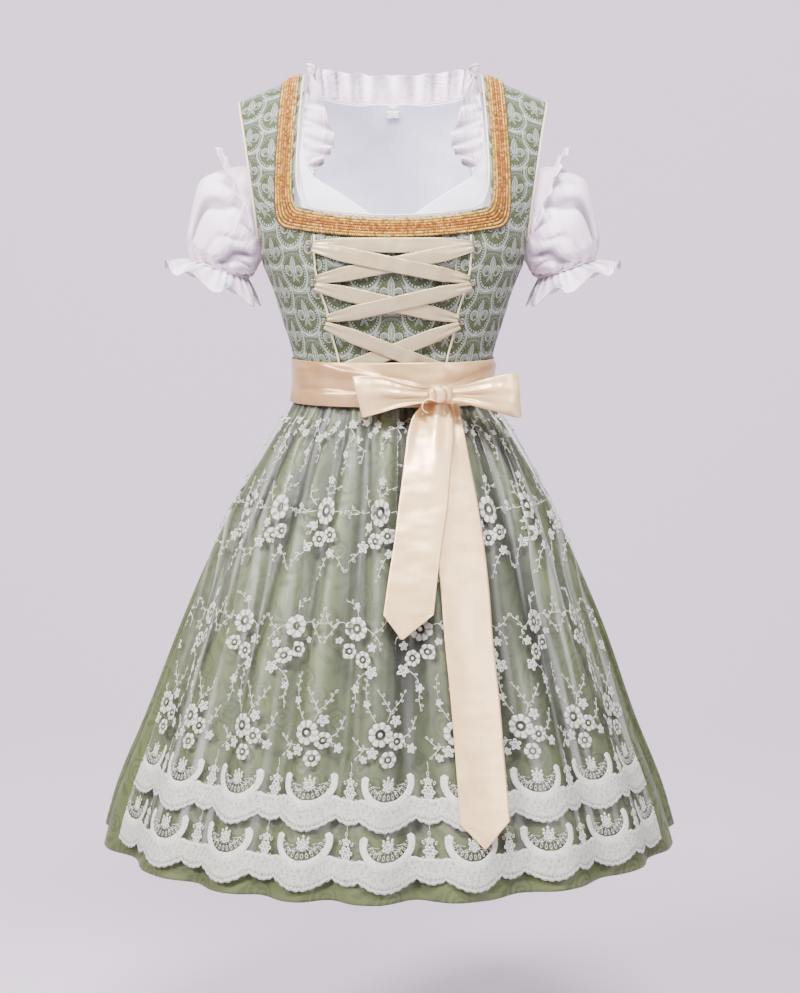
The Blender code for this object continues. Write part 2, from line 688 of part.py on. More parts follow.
def build_loop(name, loop, material):
    steps = spread(0.0, float(len(loop["step"]) - 1), 17)
    rows = []
    for s in steps:
        top = Vector((read(loop, "top_x", s), read(loop, "y", s), read(loop, "top_z", s)))
        low = Vector((read(loop, "low_x", s), read(loop, "y", s), read(loop, "low_z", s)))
        swell = 0.0018 * math.sin(math.pi * s / steps[-1])
        row = []
        for u in spread(0.0, 1.0, 4):
            point = top.lerp(low, u)
            point.y -= swell * math.sin(2.5 * math.pi * u)
            row.append(point)
        rows.append(row)
    sheet_from_grids(name, [rows], NET, material, offset=0.0)


def build_knot(material):
    """The wrapped knot: a block with its edges drawn in."""
    size = Vector((0.0265, 0.0190, 0.0200))
    centre = Vector((0.0582, -0.1243, -0.3935))
    build = bmesh.new()
    bmesh.ops.create_cube(build, size=1.0)
    for vert in build.verts:
        vert.co = Vector([c * s for c, s in zip(vert.co, size)]) + centre
    mesh = bpy.data.meshes.new("bow_knot")
    build.to_mesh(mesh)
    build.free()
    item = finish("bow_knot", mesh, material)
    edge = item.modifiers.new("Rounding", "BEVEL")
    edge.width = 0.0070
    edge.segments = 2
    return item


def tail_point(x, z, lift):
    """Point over the apron's crests, or over the sash where the tail starts."""
    point = apron_point(skirt_angle(x, z), z, lift, wave=1.0)
    low_edge = SASH["z"][0]
    if z > low_edge - 0.012:
        share = min(1.0, abs(x) / read(SASH, "half_width", low_edge))
        angle = math.degrees(math.asin(share ** (ROUNDNESS / 2)))
        point.y = min(point.y, low_point(angle, low_edge, -1, lift, form=SASH).y)
    return point


def build_tail(name, tail, tip, lift, material):
    """A ribbon end over the apron, with a pointed tip."""
    z_low, z_high = tail["z"][0], tail["z"][-1]
    rows = []
    heights = [z_high + (z_low - z_high) * share ** 1.5 for share in spread(0.0, 1.0, 15)]
    for z in heights + [None]:
        row = []
        for u in spread(0.0, 1.0, 5):
            if z is None:
                x = read(tail, "left", z_low) * (1 - u) + read(tail, "right", z_low) * u
                middle = (tip[0] - tail["left"][0]) / (tail["right"][0] - tail["left"][0])
                reach = u / middle if u < middle else (1 - u) / (1 - middle)
                place = z_low - (z_low - tip[1]) * max(0.04, reach)
            else:
                x = read(tail, "left", z) * (1 - u) + read(tail, "right", z) * u
                place = z
            point = tail_point(x, place, lift)
            gather = max(0.0, (place + 0.47) / 0.06)
            point.y -= 0.0022 * min(1.0, gather) * math.cos(4 * math.pi * u)
            row.append(point)
        rows.append(row)
    sheet_from_grids(name, [rows], NET, material, inside=skirt_axis)


# ---- blouse --------------------------------------------------------------
NECK_BASE = table("station x y z out_x out_y out_z", [   # the ruffle's seam and its reach
    (0, 0.0955, -0.0985, -0.1270, -0.004, -0.004, 0.007),
    (1, 0.1070, -0.0930, -0.1050, -0.028, -0.012, 0.003),
    (2, 0.1110, -0.0770, -0.0740, -0.040, -0.014, -0.012),
    (3, 0.1090, -0.0500, -0.0420, -0.026, -0.022, -0.006),
    (4, 0.1050, -0.0010, -0.0120, -0.004, -0.006, 0.022),
    (5, 0.0970, 0.0290, -0.0200, 0.006, 0.003, 0.030),
    (6, 0.0790, 0.0425, -0.0270, 0.004, 0.007, 0.037),
    (7, 0.0450, 0.0495, -0.0320, 0.001, 0.008, 0.038),
    (8, 0.0000, 0.0515, -0.0340, 0.000, 0.008, 0.038),
])
SLEEVE = table("step x y z top_x top_z depth draw", [   # a ring's centre and upper half
    (0, 0.1715, -0.0060, -0.1690, 0.0085, 0.0570, 0.0420, 0.000),
    (1, 0.1900, -0.0060, -0.1775, 0.0180, 0.0610, 0.0460, 0.010),
    (2, 0.2040, -0.0040, -0.1845, 0.0295, 0.0610, 0.0570, 0.006),
    (3, 0.2132, -0.0020, -0.1957, 0.0352, 0.0543, 0.0620, 0.000),
    (4, 0.2212, 0.0000, -0.2212, 0.0388, 0.0313, 0.0600, 0.000),
    (5, 0.2235, 0.0000, -0.2328, 0.0385, 0.0202, 0.0520, 0.000),
    (6, 0.2217, 0.0000, -0.2414, 0.0347, 0.0118, 0.0410, 0.000),
])
CUFF = table("step x y z top_x top_z depth draw", [
    (0, 0.2217, 0.0000, -0.2424, 0.0347, 0.0118, 0.0410, 0.000),
    (1, 0.2265, 0.0000, -0.2510, 0.0480, 0.0190, 0.0560, 0.000),
    (2, 0.2325, 0.0000, -0.2610, 0.0590, 0.0240, 0.0650, 0.000),
])
LABEL_ROW = 5               # the blouse back's row under the label
LABEL_HALF_WIDTH = 0.008
LABEL_TOP_Z, LABEL_LOW_Z = -0.0420, -0.0510
LABEL_GAP = 0.0018          # from the blouse back to the label
SLEEVE_FOLDS = 10
SLEEVE_COLUMNS = 28


def ring_point(form, step, angle, swell=0.0):
    """angle: 0 on the outer top, 90 in front, 180 at the underarm."""
    a = math.radians(angle)
    upper = Vector((read(form, "top_x", step), 0.0, read(form, "top_z", step)))
    centre = Vector([read(form, axis, step) for axis in "xyz"])
    centre.x -= read(form, "draw", step) * math.sin(a) ** 2
    front = Vector((0.0, -read(form, "depth", step), 0.0))
    grow = 1.0 + swell / max(0.02, upper.length)
    return centre + (upper * math.cos(a) + front * math.sin(a)) * grow


def sleeve_swell(step, angle):
    """Gathers at both ends of the sleeve, a smooth puff between."""
    a = math.radians(angle)
    end = max(0.0, 1.0 - abs(step - 1.0)) * 0.8 + max(0.0, (step - 3.6) / 2.4)
    return 0.0015 * end * math.cos(SLEEVE_FOLDS * a + 0.5)


def build_sleeves(cotton):
    rows = []
    angles = [360.0 * i / SLEEVE_COLUMNS for i in range(SLEEVE_COLUMNS)]
    for step in (0.0, 0.95, 1.6, 2.5, 3.6, 4.8, 6.0):
        rows.append([ring_point(SLEEVE, step, a, sleeve_swell(step, a)) for a in angles])
    frill = []
    count = CUFF_WAVES * 6
    axis = Vector((-0.30, 0.0, -0.954))
    for step in (0.0, 1.0, 2.0):
        row = []
        for i in range(count):
            wave = math.cos(2 * math.pi * CUFF_WAVES * i / count + 0.8)
            reach = (step / 2.0) ** 1.2
            row.append(ring_point(CUFF, step, 360.0 * i / count, 0.003 * reach * wave)
                       + axis * (CUFF_SWING * reach * wave))
        frill.append(row)
    head = []
    for reach in (0.0, 0.5, 1.0):
        row = []
        for angle in spread(-HEAD_FRILL_HALF, HEAD_FRILL_HALF, 33):
            base = ring_point(SLEEVE, 1.1, angle, 0.0042)
            a = math.radians(angle)
            out = Vector((0.38, -0.50 * math.sin(a), 0.88)).normalized()
            phase = math.pi * HEAD_FRILL_WAVES * (angle / HEAD_FRILL_HALF + 1)
            swing = Vector((0.8, -0.6 * math.sin(a), -0.3))
            row.append(base + out * (HEAD_FRILL_HEIGHT * reach)
                       + swing * (HEAD_FRILL_SWING * reach * math.cos(phase)))
        head.append(row)
    for side, turn in (("right", lambda grid: grid), ("left", mirror_grid)):
        sign = 1 if side == "right" else -1
        sheet_from_grids("sleeve_" + side, [turn(rows)], CLOTH, cotton, closed=True,
                         inside=lambda p, s=sign: Vector((s * 0.2, 0.0, min(-0.16, p.z))))
        sheet_from_grids("cuff_frill_" + side, [turn(frill)], NET, cotton, closed=True)
        sheet_from_grids("sleeve_head_frill_" + side, [turn(head)], NET, cotton, offset=0.0)


def blouse_rows(side):
    """Half of the blouse's front (side -1) or back (side 1), from the hem up."""
    inset = -BLOUSE_INSET
    columns = 7
    rows = []
    middle = 0.0015 if side < 0 else 0.0
    for z in (BLOUSE_HEM_Z, -0.272):
        rows.append([low_point(a, z, side, inset) for a in spread(side_angle(middle, z), 90.0, columns)])
    if side < 0:
        inner = [(0.0015, -0.235), (0.0015, -0.1910), (0.0330, -0.1690), (0.0640, -0.1475)]
        outer = [180.0, 160.0, 140.0, 118.0]
        stations = [0, 1, 2, 3, 4]
        outer += [98.0, 76.0, 54.0, 30.0, 2.0]
    else:
        inner = [(0.0, -0.235), (0.0, -0.180), (0.0, -0.125), (0.0, -0.078)]
        outer = [180.0, 158.0, 134.0, 110.0]
        stations = [8, 7, 6, 5, 4]
        outer += [86.0, 64.0, 44.0, 24.0, 2.0]
    starts = [torso_point(x, z, side, inset) for x, z in inner]
    drop = Vector((0.0, 0.0, -0.0016))
    for station in stations:
        base = Vector([read(NECK_BASE, axis, station) for axis in "xyz"]) + drop
        if station == 4:
            base.y = side * 0.0016
        starts.append(base)
    for start, angle in zip(starts, outer):
        end = ring_point(SLEEVE, 0.0, angle)
        end.x -= 0.0022
        end.y = side * max(abs(end.y) - 0.001, 0.0016)
        if angle == 180.0:
            end = low_point(90.0, -0.2365, side, inset)
            end.y += side * SEAM_EDGE
        row = []
        for u in spread(0.0, 1.0, columns):
            point = start.lerp(end, u)
            form = torso_point(point.x, point.z, side, inset)
            first = start.y - torso_point(start.x, start.z, side, inset).y
            last = end.y - torso_point(end.x, end.z, side, inset).y
            bent = form.y + first * (1 - u) + last * u
            inner_limit = form.y if side < 0 else -form.y
            point.y = side * min(abs(bent), abs(inner_limit)) if abs(form.y) > 0.004 else bent
            row.append(point)
        rows.append(row)
    return rows


def build_blouse():
    cotton = make_material("white_cotton", (238, 236, 240), 0.8)
    front = blouse_rows(-1)
    back = blouse_rows(1)
    sheet_from_grids("blouse_front_right", [front], CLOTH, cotton, inside=body_axis)
    sheet_from_grids("blouse_front_left", [mirror_grid(front)], CLOTH, cotton, inside=body_axis)
    sheet_from_grids("blouse_back", [back, mirror_grid(back)], CLOTH, cotton, inside=body_axis,
                     weld=True)
    build_sleeves(cotton)
    build_neck_ruffle(cotton)
    build_label(back)


def build_label(back):
    """A blank tab on the inner face of the blouse's back, under the neck seam."""
    lower, upper = back[LABEL_ROW], back[LABEL_ROW + 1]
    rows = []
    for z in (LABEL_TOP_Z, LABEL_LOW_Z):
        share = (z - lower[0].z) / (upper[0].z - lower[0].z)
        middle = lower[0].lerp(upper[0], share)
        slope = Vector((0.0, upper[0].z - lower[0].z, lower[0].y - upper[0].y)).normalized()
        bend = (lower[1] - lower[0]).y / (lower[1] - lower[0]).x
        rows.append([middle - slope * (CLOTH + LABEL_GAP) + Vector((x, abs(x) * bend, 0.0))
                     for x in (-LABEL_HALF_WIDTH, 0.0, LABEL_HALF_WIDTH)])
    sheet_from_grids("size_label", [rows], NET, make_material("label", (236, 236, 236), 0.6),
                     inside=body_axis)


def build_neck_ruffle(cotton):
    """Gathered frill that stands round the neck, from one front end to the other."""
    count = NECK_RUFFLE_WAVES * 5
    rows = [[] for _ in range(4)]
    places = spread(-8.0, 8.0, count + 1)
    for place in places:
        station = 8.0 - abs(place)
        side = -1.0 if place < 0 else 1.0
        base = Vector([read(NECK_BASE, axis, station) for axis in "xyz"])
        reach = Vector([read(NECK_BASE, "out_" + axis, station) for axis in "xyz"])
        near = min(8.0, station + 0.05)
        far = max(0.0, station - 0.05)
        along = Vector([read(NECK_BASE, a, near) - read(NECK_BASE, a, far) for a in "xyz"])
        swing = along.cross(reach).normalized()
        wave = math.cos(math.pi * 2 * NECK_RUFFLE_WAVES * (place + 8.0) / 16.0)
        for k, row in enumerate(rows):
            share = k / (len(rows) - 1)
            point = base + reach * share + swing * (wave * (0.0004 + NECK_RUFFLE_SWING * share ** 0.8))
            row.append(Vector((side * point.x, point.y, point.z)))
    sheet_from_grids("neck_ruffle", [rows], NET, cotton, offset=0.0)


clear_scene()
PARTS = bpy.data.collections.new("dirndl_dress")
bpy.context.scene.collection.children.link(PARTS)
build_bodice()
build_braid()
build_lacing()
build_skirt()
build_apron()
build_sash()
build_blouse()
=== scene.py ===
# Dirndl set: laced bodice, flared skirt, lace apron with sash and bow, short blouse.
import math

import bmesh
import bpy
import numpy as np
from mathutils import Matrix, Vector, noise


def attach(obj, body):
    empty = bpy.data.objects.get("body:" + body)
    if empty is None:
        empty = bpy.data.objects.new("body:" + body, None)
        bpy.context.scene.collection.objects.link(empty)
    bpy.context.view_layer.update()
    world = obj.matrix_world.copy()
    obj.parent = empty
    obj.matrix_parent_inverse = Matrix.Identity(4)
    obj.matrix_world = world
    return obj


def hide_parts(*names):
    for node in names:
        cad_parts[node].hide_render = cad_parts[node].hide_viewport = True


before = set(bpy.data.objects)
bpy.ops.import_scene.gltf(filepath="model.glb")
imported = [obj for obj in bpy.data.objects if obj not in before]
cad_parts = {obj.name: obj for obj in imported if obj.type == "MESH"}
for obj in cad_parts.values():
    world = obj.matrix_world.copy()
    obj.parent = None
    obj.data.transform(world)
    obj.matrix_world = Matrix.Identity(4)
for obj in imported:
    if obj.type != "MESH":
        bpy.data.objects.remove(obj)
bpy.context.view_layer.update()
bpy.ops.object.select_all(action="DESELECT")


# the dress's own sections, in metres
def makeForm(columns, rows):
    ordered = np.array(sorted(rows), dtype=float)
    keys = ordered[:, 0]
    form = {"keys": keys.tolist()}
    for i, name in enumerate(columns.split()):
        form[name] = (ordered[:, i].tolist(), np.gradient(ordered[:, i], keys).tolist())
    return form


def readForm(form, column, place):
    keys = form["keys"]
    values, slopes = form[column]
    if place <= keys[0]:
        return values[0]
    if place >= keys[-1]:
        return values[-1]
    i = 0
    while keys[i + 1] <= place:
        i += 1
    span = keys[i + 1] - keys[i]
    t = (place - keys[i]) / span
    return ((2 * t**3 - 3 * t**2 + 1) * values[i] + (t**3 - 2 * t**2 + t) * span * slopes[i]
            + (3 * t**2 - 2 * t**3) * values[i + 1] + (t**3 - t**2) * span * slopes[i + 1])


bodySettings = {
    "seam": 0.0004, "roundness": 2.3, "shoulderNeckX": 0.1135, "shoulderSlope": 0.415,
    "underarmZ": -0.238, "waistZ": -0.3835, "neckCentreZ": -0.1776, "neckCornerX": 0.1210,
    "neckCornerZ": -0.1640, "backNeckDrop": 0.072, "cloth": 0.0012, "seamSide": 0.0956,
    "skirtRound": (-0.52, 0.12),    # the hips' roundness gives way to an ellipse: lowest z, height
}
torsoForm = makeForm("z halfWidth front back", [
    (0.000, 0.2400, 0.1280, 0.1080), (-0.060, 0.2245, 0.1280, 0.1080),
    (-0.112, 0.2105, 0.1280, 0.1080), (-0.160, 0.1960, 0.1280, 0.1080),
    (-0.200, 0.1820, 0.1280, 0.1080), (-0.238, 0.1660, 0.1280, 0.1080),
    (-0.271, 0.1525, 0.1225, 0.1030), (-0.304, 0.1428, 0.1130, 0.0960),
    (-0.331, 0.1345, 0.1050, 0.0905), (-0.354, 0.1285, 0.1000, 0.0880),
    (-0.384, 0.1270, 0.0990, 0.0890)])
princessForm = makeForm("z x", [
    (-0.384, 0.0640), (-0.355, 0.0664), (-0.321, 0.0744), (-0.298, 0.0787),
    (-0.265, 0.0883), (-0.237, 0.0947), (-0.203, 0.0956), (-0.150, 0.0956)])
armholeForm = makeForm("z x", [
    (-0.238, 0.1655), (-0.222, 0.1657), (-0.197, 0.1680), (-0.155, 0.1725),
    (-0.112, 0.1785), (-0.075, 0.1840), (-0.033, 0.1925)])
neckForm = makeForm("z x", [
    (-0.164, 0.1210), (-0.120, 0.1205), (-0.075, 0.1180), (-0.035, 0.1155), (0.0, 0.1135)])
skirtForm = makeForm("z halfWidth front back fold shift", [
    (-0.3845, 0.1262, 0.1010, 0.0910, 0.0006, 0.0),
    (-0.4110, 0.1278, 0.1055, 0.0945, 0.0010, 0.0),
    (-0.4400, 0.1440, 0.1210, 0.1100, 0.0028, 0.0),
    (-0.4720, 0.1630, 0.1390, 0.1280, 0.0042, 0.0),
    (-0.5430, 0.2040, 0.1740, 0.1680, 0.0058, 0.0010),
    (-0.6855, 0.2700, 0.2300, 0.2260, 0.0076, 0.0030),
    (-0.8300, 0.3270, 0.2790, 0.2760, 0.0090, 0.0045),
    (-0.9280, 0.3660, 0.3120, 0.3090, 0.0098, 0.0050),
    (-0.9770, 0.3800, 0.3250, 0.3220, 0.0100, 0.0050)])
apronForm = makeForm("z lift edge", [
    (-0.3890, 0.0018, 86.0), (-0.4110, 0.0020, 86.0), (-0.4400, 0.0070, 86.0),
    (-0.4720, 0.0095, 85.0), (-0.5430, 0.0085, 81.0), (-0.6200, 0.0085, 73.0),
    (-0.7500, 0.0070, 69.5), (-0.9800, 0.0060, 67.5)])
sashForm = makeForm("z halfWidth front back", [
    (-0.4110, 0.1318, 0.1118, 0.0985), (-0.3850, 0.1308, 0.1105, 0.0965),
    (-0.3560, 0.1306, 0.1092, 0.0935)])


def clamped(value):
    return max(0.0, min(1.0, value))


def spread(start, end, count):
    return [start + (end - start) * i / (count - 1) for i in range(count)]


def smoothStep(low, high, value):
    t = clamped((value - low) / (high - low))
    return t * t * (3 - 2 * t)


def ruffled(place, scale, seed):
    return noise.noise(Vector((place[0] * scale, place[1] * scale, seed)))


def shoulderZ(x):
    return -bodySettings["shoulderSlope"] * max(0.0, abs(x) - bodySettings["shoulderNeckX"])


def signedPower(value, exponent):
    return math.copysign(abs(value) ** exponent, value)


def lowPoint(angle, z, side, lift=0.0, form=torsoForm):
    a = math.radians(angle)
    shape = 2 / bodySettings["roundness"]
    depth = readForm(form, "front" if side < 0 else "back", z) + lift
    x = (readForm(form, "halfWidth", z) + lift) * signedPower(math.sin(a), shape)
    return Vector((x, side * (depth * abs(math.cos(a)) ** shape + bodySettings["seam"]), z))


def sideAngle(x, z, form=torsoForm):
    share = min(1.0, abs(x) / readForm(form, "halfWidth", z))
    return math.copysign(math.degrees(math.asin(share ** (bodySettings["roundness"] / 2))), x)


def archZ(x, arch):
    top = shoulderZ(x)
    return top - (1 - math.cos(math.radians(arch))) * (top - bodySettings["underarmZ"])


def archOf(x, z):
    top = shoulderZ(x)
    return math.degrees(math.acos(1 - clamped((top - z) / (top - bodySettings["underarmZ"]))))


def archPoint(x, arch, side, lift=0.0):
    z = archZ(x, arch)
    power = bodySettings["roundness"]
    half = readForm(torsoForm, "halfWidth", z)
    share = min(0.999, abs(x) / half)
    depth = readForm(torsoForm, "front" if side < 0 else "back", z)
    rest = 1 - share ** power
    slope = depth / half * share ** (power - 1) * rest ** (1 / power - 1)
    reach = depth * rest ** (1 / power) + lift * math.sqrt(1 + slope * slope)
    a = math.radians(arch)
    return Vector((x, side * (reach * math.sin(a) + bodySettings["seam"]), z + lift * math.cos(a)))


def torsoPoint(x, z, side, lift=0.0):
    if z < bodySettings["underarmZ"]:
        return lowPoint(sideAngle(x, z), z, side, lift)
    return archPoint(x, archOf(x, z), side, lift)


def edgeAt(edge, arch):
    x = readForm(edge, "x", archZ(0.15, arch))
    for _ in range(8):
        x = readForm(edge, "x", archZ(x, arch))
    return x


def necklineZ(x):
    low, corner = bodySettings["neckCentreZ"], bodySettings["neckCornerZ"]
    return low + (corner - low) * (x / bodySettings["neckCornerX"]) ** 2


def pleatPhase(angle):
    a = math.radians(angle)
    return 20 * a + 1.1 * math.sin(3 * a + 0.6) + 0.7 * math.sin(5 * a + 2.0)


def pleatStrength(angle):
    return 0.78 + 0.22 * math.sin(4 * math.radians(angle) + 1.0)


def skirtPower(z):
    low, high = bodySettings["skirtRound"]
    return 2.0 + (bodySettings["roundness"] - 2.0) * clamped((z - low) / high)


def skirtPoint(angle, z, lift=0.0, wave=None):
    a = math.radians(angle)
    power = skirtPower(z)
    if wave is None:
        wave = math.cos(pleatPhase(angle))
    ripple = readForm(skirtForm, "fold", z) * pleatStrength(angle) * (wave - 1) + lift
    depth = readForm(skirtForm, "front" if abs(angle) <= 90 else "back", z)
    x = (readForm(skirtForm, "halfWidth", z) + ripple) * signedPower(math.sin(a), 2 / power)
    y = -(depth + ripple) * signedPower(math.cos(a), 2 / power)
    return Vector((x - readForm(skirtForm, "shift", z), y, z))


def apronPoint(angle, z, lift=0.0, wave=None):
    return skirtPoint(angle, z, readForm(apronForm, "lift", z) + lift, wave)


# meshes
def deselectAll():
    bpy.ops.object.select_all(action="DESELECT")


def applyModifiers(piece):
    deselectAll()
    bpy.context.view_layer.objects.active = piece
    piece.select_set(True)
    for modifier in list(piece.modifiers):
        bpy.ops.object.modifier_apply(modifier=modifier.name)
    piece.select_set(False)


def linkPiece(name, mesh, material=None):
    piece = bpy.data.objects.new(name, mesh)
    bpy.context.scene.collection.objects.link(piece)
    if material is not None:
        mesh.materials.append(material)
    return piece


def gridMesh(name, rows, closed=False, middle=0.5, uvRows=None, behind=None, hollows=None):
    # a cloth grid with its UV in metres along the cloth, u measured from the middle column;
    # each point's value, 0 to 1, is kept as the attribute hollow: on cloth, how much painted shade it takes
    # from how deep in a fold it lies; on the net, how strongly it veils
    heights = [0.0]
    column = int((len(rows[0]) - 1) * middle)
    for before, after in zip(rows, rows[1:]):
        heights.append(heights[-1] + (after[column] - before[column]).length)
    build = bmesh.new()
    layer = build.loops.layers.uv.new("cloth")
    verts, places = [], []
    for r, row in enumerate(rows):
        ring = list(row) + ([row[0]] if closed else [])
        along = [0.0]
        for before, after in zip(ring, ring[1:]):
            along.append(along[-1] + (after - before).length)
        start = along[column]
        if uvRows is None:
            places.append([(a - start, heights[r]) for a in along])
        else:
            places.append(uvRows[r])
        made = [build.verts.new(point) for point in row]
        verts.append(made + ([made[0]] if closed else []))
    for r in range(len(rows) - 1):
        for c in range(len(verts[0]) - 1):
            corners = ((r, c), (r, c + 1), (r + 1, c + 1), (r + 1, c))
            face = build.faces.new([verts[i][j] for i, j in corners])
            face.smooth = True
            for loop, (i, j) in zip(face.loops, corners):
                loop[layer].uv = places[i][j]
    if behind is not None:
        build.normal_update()
        outward = 0.0
        for face in build.faces:
            centre = face.calc_center_median()
            outward += face.normal.dot(centre - behind(centre)) * face.calc_area()
        if outward < 0:
            bmesh.ops.reverse_faces(build, faces=build.faces)
    mesh = bpy.data.meshes.new(name)
    build.to_mesh(mesh)
    build.free()
    if hollows is not None:
        layer = mesh.attributes.new("hollow", "FLOAT", "POINT")
        layer.data.foreach_set("value", [value for row in hollows for value in row])
    return mesh


def thicken(piece, wall, offset=-1.0):
    thick = piece.modifiers.new("wall", "SOLIDIFY")
    thick.thickness = wall
    thick.offset = offset
    applyModifiers(piece)


def clothPiece(name, rows, material, wall, offset=-1.0, node=None, slot=None, **how):
    piece = linkPiece(name, gridMesh(name, rows, **how), material)
    thicken(piece, wall, offset)
    putPiece(piece, node, slot)
    return piece


def putPiece(piece, node=None, slot=None):
    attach(piece, "root")
    if node:
        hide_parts(node)


def clothGrid(downs, acrosses, place):
    # rows of points and how much painted shade each takes from how deep in a fold it lies, as place(down,
    # across) says
    found = [[place(down, across) for across in acrosses] for down in downs]
    return [[point for point, _ in row] for row in found], [[deep for _, deep in row] for row in found]


def turns(count):
    return [2 * math.pi * i / count for i in range(count)]


def sameGrid(rows):
    return rows


def mirrorGrid(rows):
    return [[Vector((-p.x, p.y, p.z)) for p in row] for row in rows]


def tidyMesh(mesh, fill=False):
    # drops loose points, fills open ends if told to, and turns the faces outwards
    build = bmesh.new()
    build.from_mesh(mesh)
    bmesh.ops.delete(build, geom=[v for v in build.verts if not v.link_faces], context="VERTS")
    if fill:
        bmesh.ops.holes_fill(build, edges=[e for e in build.edges if e.is_boundary], sides=0)
    bmesh.ops.recalc_face_normals(build, faces=build.faces)
    build.to_mesh(mesh)
    build.free()
    return mesh


def stitchPiece(name, verts, faces, material, slot, uvs=None, smooth=True, **values):
    # small solids laid on a cloth, with one value a point for each name in values
    mesh = bpy.data.meshes.new(name)
    mesh.from_pydata(verts, [], faces)
    layer = mesh.uv_layers.new(name="cloth")
    for loop in mesh.loops:
        k = loop.vertex_index
        layer.data[loop.index].uv = uvs[k] if uvs else (verts[k][0], verts[k][2])
    for label, numbers in values.items():
        mesh.attributes.new(label, "FLOAT", "POINT").data.foreach_set("value", numbers)
    tidyMesh(mesh)
    if smooth:
        mesh.shade_smooth()
    piece = linkPiece(name, mesh, material)
    putPiece(piece, None, slot)
    return piece


def cordPiece(name, points, radius, material, node, slot):
    # a round cord through points, its UV running along it in metres
    rings, side, last, sides = [], None, len(points) - 1, 8
    for i, point in enumerate(points):
        along = (points[min(last, i + 1)] - points[max(0, i - 1)]).normalized()
        if side is None:
            side = along.orthogonal().normalized()
        side = (side - along * side.dot(along)).normalized()
        over = along.cross(side)
        rings.append([point + (side * math.cos(a) + over * math.sin(a)) * radius for a in turns(sides)])
    piece = linkPiece(name, tidyMesh(gridMesh(name, rings, closed=True), fill=True), material)
    putPiece(piece, node, slot)


def smoothLine(points, count):
    # a Catmull-Rom line through the points, evenly spaced in number
    found = []
    last = len(points) - 1
    for i in range(count):
        s = last * i / (count - 1)
        k = min(last - 1, int(s))
        t = s - k
        p0, p1 = points[max(0, k - 1)], points[k]
        p2, p3 = points[k + 1], points[min(last, k + 2)]
        found.append(0.5 * (2 * p1 + (p2 - p0) * t + (2 * p0 - 5 * p1 + 4 * p2 - p3) * t * t
                            + (3 * p1 - p0 - 3 * p2 + p3) * t**3))
    return found


# materials
def linear(r, g, b):
    return tuple(((c / 255 + 0.055) / 1.055) ** 2.4 for c in (r, g, b)) + (1.0,)


def put(socket, item):
    if isinstance(item, Value):
        item.tree.links.new(item.socket, socket)
    else:
        socket.default_value = item


def addNode(tree, kind, inputs=None, **settings):
    made = tree.nodes.new(kind)
    for key, item in settings.items():
        setattr(made, key, item)
    for key, item in (inputs or {}).items():
        put(made.inputs[key], item)
    return made


class Value:
    # what a node gives out, with the sums that can be done on it
    def __init__(self, tree, socket):
        self.tree, self.socket = tree, socket

    def made(self, kind, inputs, output=0, **settings):
        return Value(self.tree, addNode(self.tree, kind, inputs, **settings).outputs[output])

    def calc(self, operation, b=0.0, c=0.0, **settings):
        return self.made("ShaderNodeMath", {0: self, 1: b, 2: c}, operation=operation, **settings)

    def __add__(self, other):
        return self.calc("ADD", other)

    def __sub__(self, other):
        return self.calc("SUBTRACT", other)

    def __rsub__(self, number):
        return self.made("ShaderNodeMath", {0: number, 1: self, 2: 0.0}, operation="SUBTRACT")

    def __mul__(self, other):
        return self.calc("MULTIPLY", other)

    def __truediv__(self, other):
        return self.calc("DIVIDE", other)

    def __abs__(self):
        return self.calc("ABSOLUTE")

    def times(self, factor, plus):
        return self.calc("MULTIPLY_ADD", factor, plus)

    def most(self, other):
        return self.calc("MAXIMUM", other)

    def least(self, other):
        return self.calc("MINIMUM", other)

    def ramp(self, low, high, out0=0.0, out1=1.0):
        return self.made("ShaderNodeMapRange", {
            "Value": self, "From Min": low, "From Max": high, "To Min": out0, "To Max": out1},
            interpolation_type="SMOOTHSTEP")

    def blend(self, a, b):
        return self.made("ShaderNodeMix", {0: self, 6: a, 7: b}, 2, data_type="RGBA")

    def bump(self, strength, distance, normal=None):
        inputs = {"Height": self, "Strength": strength, "Distance": distance}
        if normal is not None:
            inputs["Normal"] = normal
        return self.made("ShaderNodeBump", inputs)

    # a vector's own
    def noise(self, scale, detail=3.0, rough=0.5):
        return self.made("ShaderNodeTexNoise", {
            "Vector": self, "Scale": scale, "Detail": detail, "Roughness": rough})

    def wave(self, direction, **inputs):
        return self.made("ShaderNodeTexWave", {"Vector": self, **inputs}, 1, bands_direction=direction)

    def stretch(self, scale):
        return self.made("ShaderNodeMapping", {"Vector": self, "Scale": scale})

    def vector(self, operation, *others):
        return self.made("ShaderNodeVectorMath", dict(enumerate((self, *others))), operation=operation)

    def length(self):
        return self.made("ShaderNodeVectorMath", {0: self}, "Value", operation="LENGTH")

    def parts(self):
        split = addNode(self.tree, "ShaderNodeSeparateXYZ", {0: self})
        return Value(self.tree, split.outputs[0]), Value(self.tree, split.outputs[1])

    def joined(self, other):
        return self.made("ShaderNodeCombineXYZ", {0: self, 1: other})

    def local(self, centre, size, turn):
        # the vector as seen from a shape that lies turned at a centre
        return self.made("ShaderNodeMapping", {
            "Vector": self, "Location": (*centre, 0.0), "Scale": (*size, 1.0),
            "Rotation": (0.0, 0.0, math.radians(turn))}, vector_type="TEXTURE")

    def oval(self, centre, size, turn=0.0):
        # 0 in the middle of an oval, 1 on its edge
        return self.local(centre, size, turn).length()

    def leaf(self, centre, size, turn=0.0):
        # the same for a leaf with two points
        across, along = self.local(centre, size, turn).parts()
        return along.times(along, abs(across))


def nearest(values):
    found = values[0]
    for value in values[1:]:
        found = found.least(value)
    return found


def newMaterial(name):
    material = bpy.data.materials.new(name)
    material.use_nodes = True
    tree = material.node_tree
    return material, tree, tree.nodes["Principled BSDF"]


def feed(shader, **inputs):
    for key, item in inputs.items():
        put(shader.inputs[key.replace("_", " ")], item)


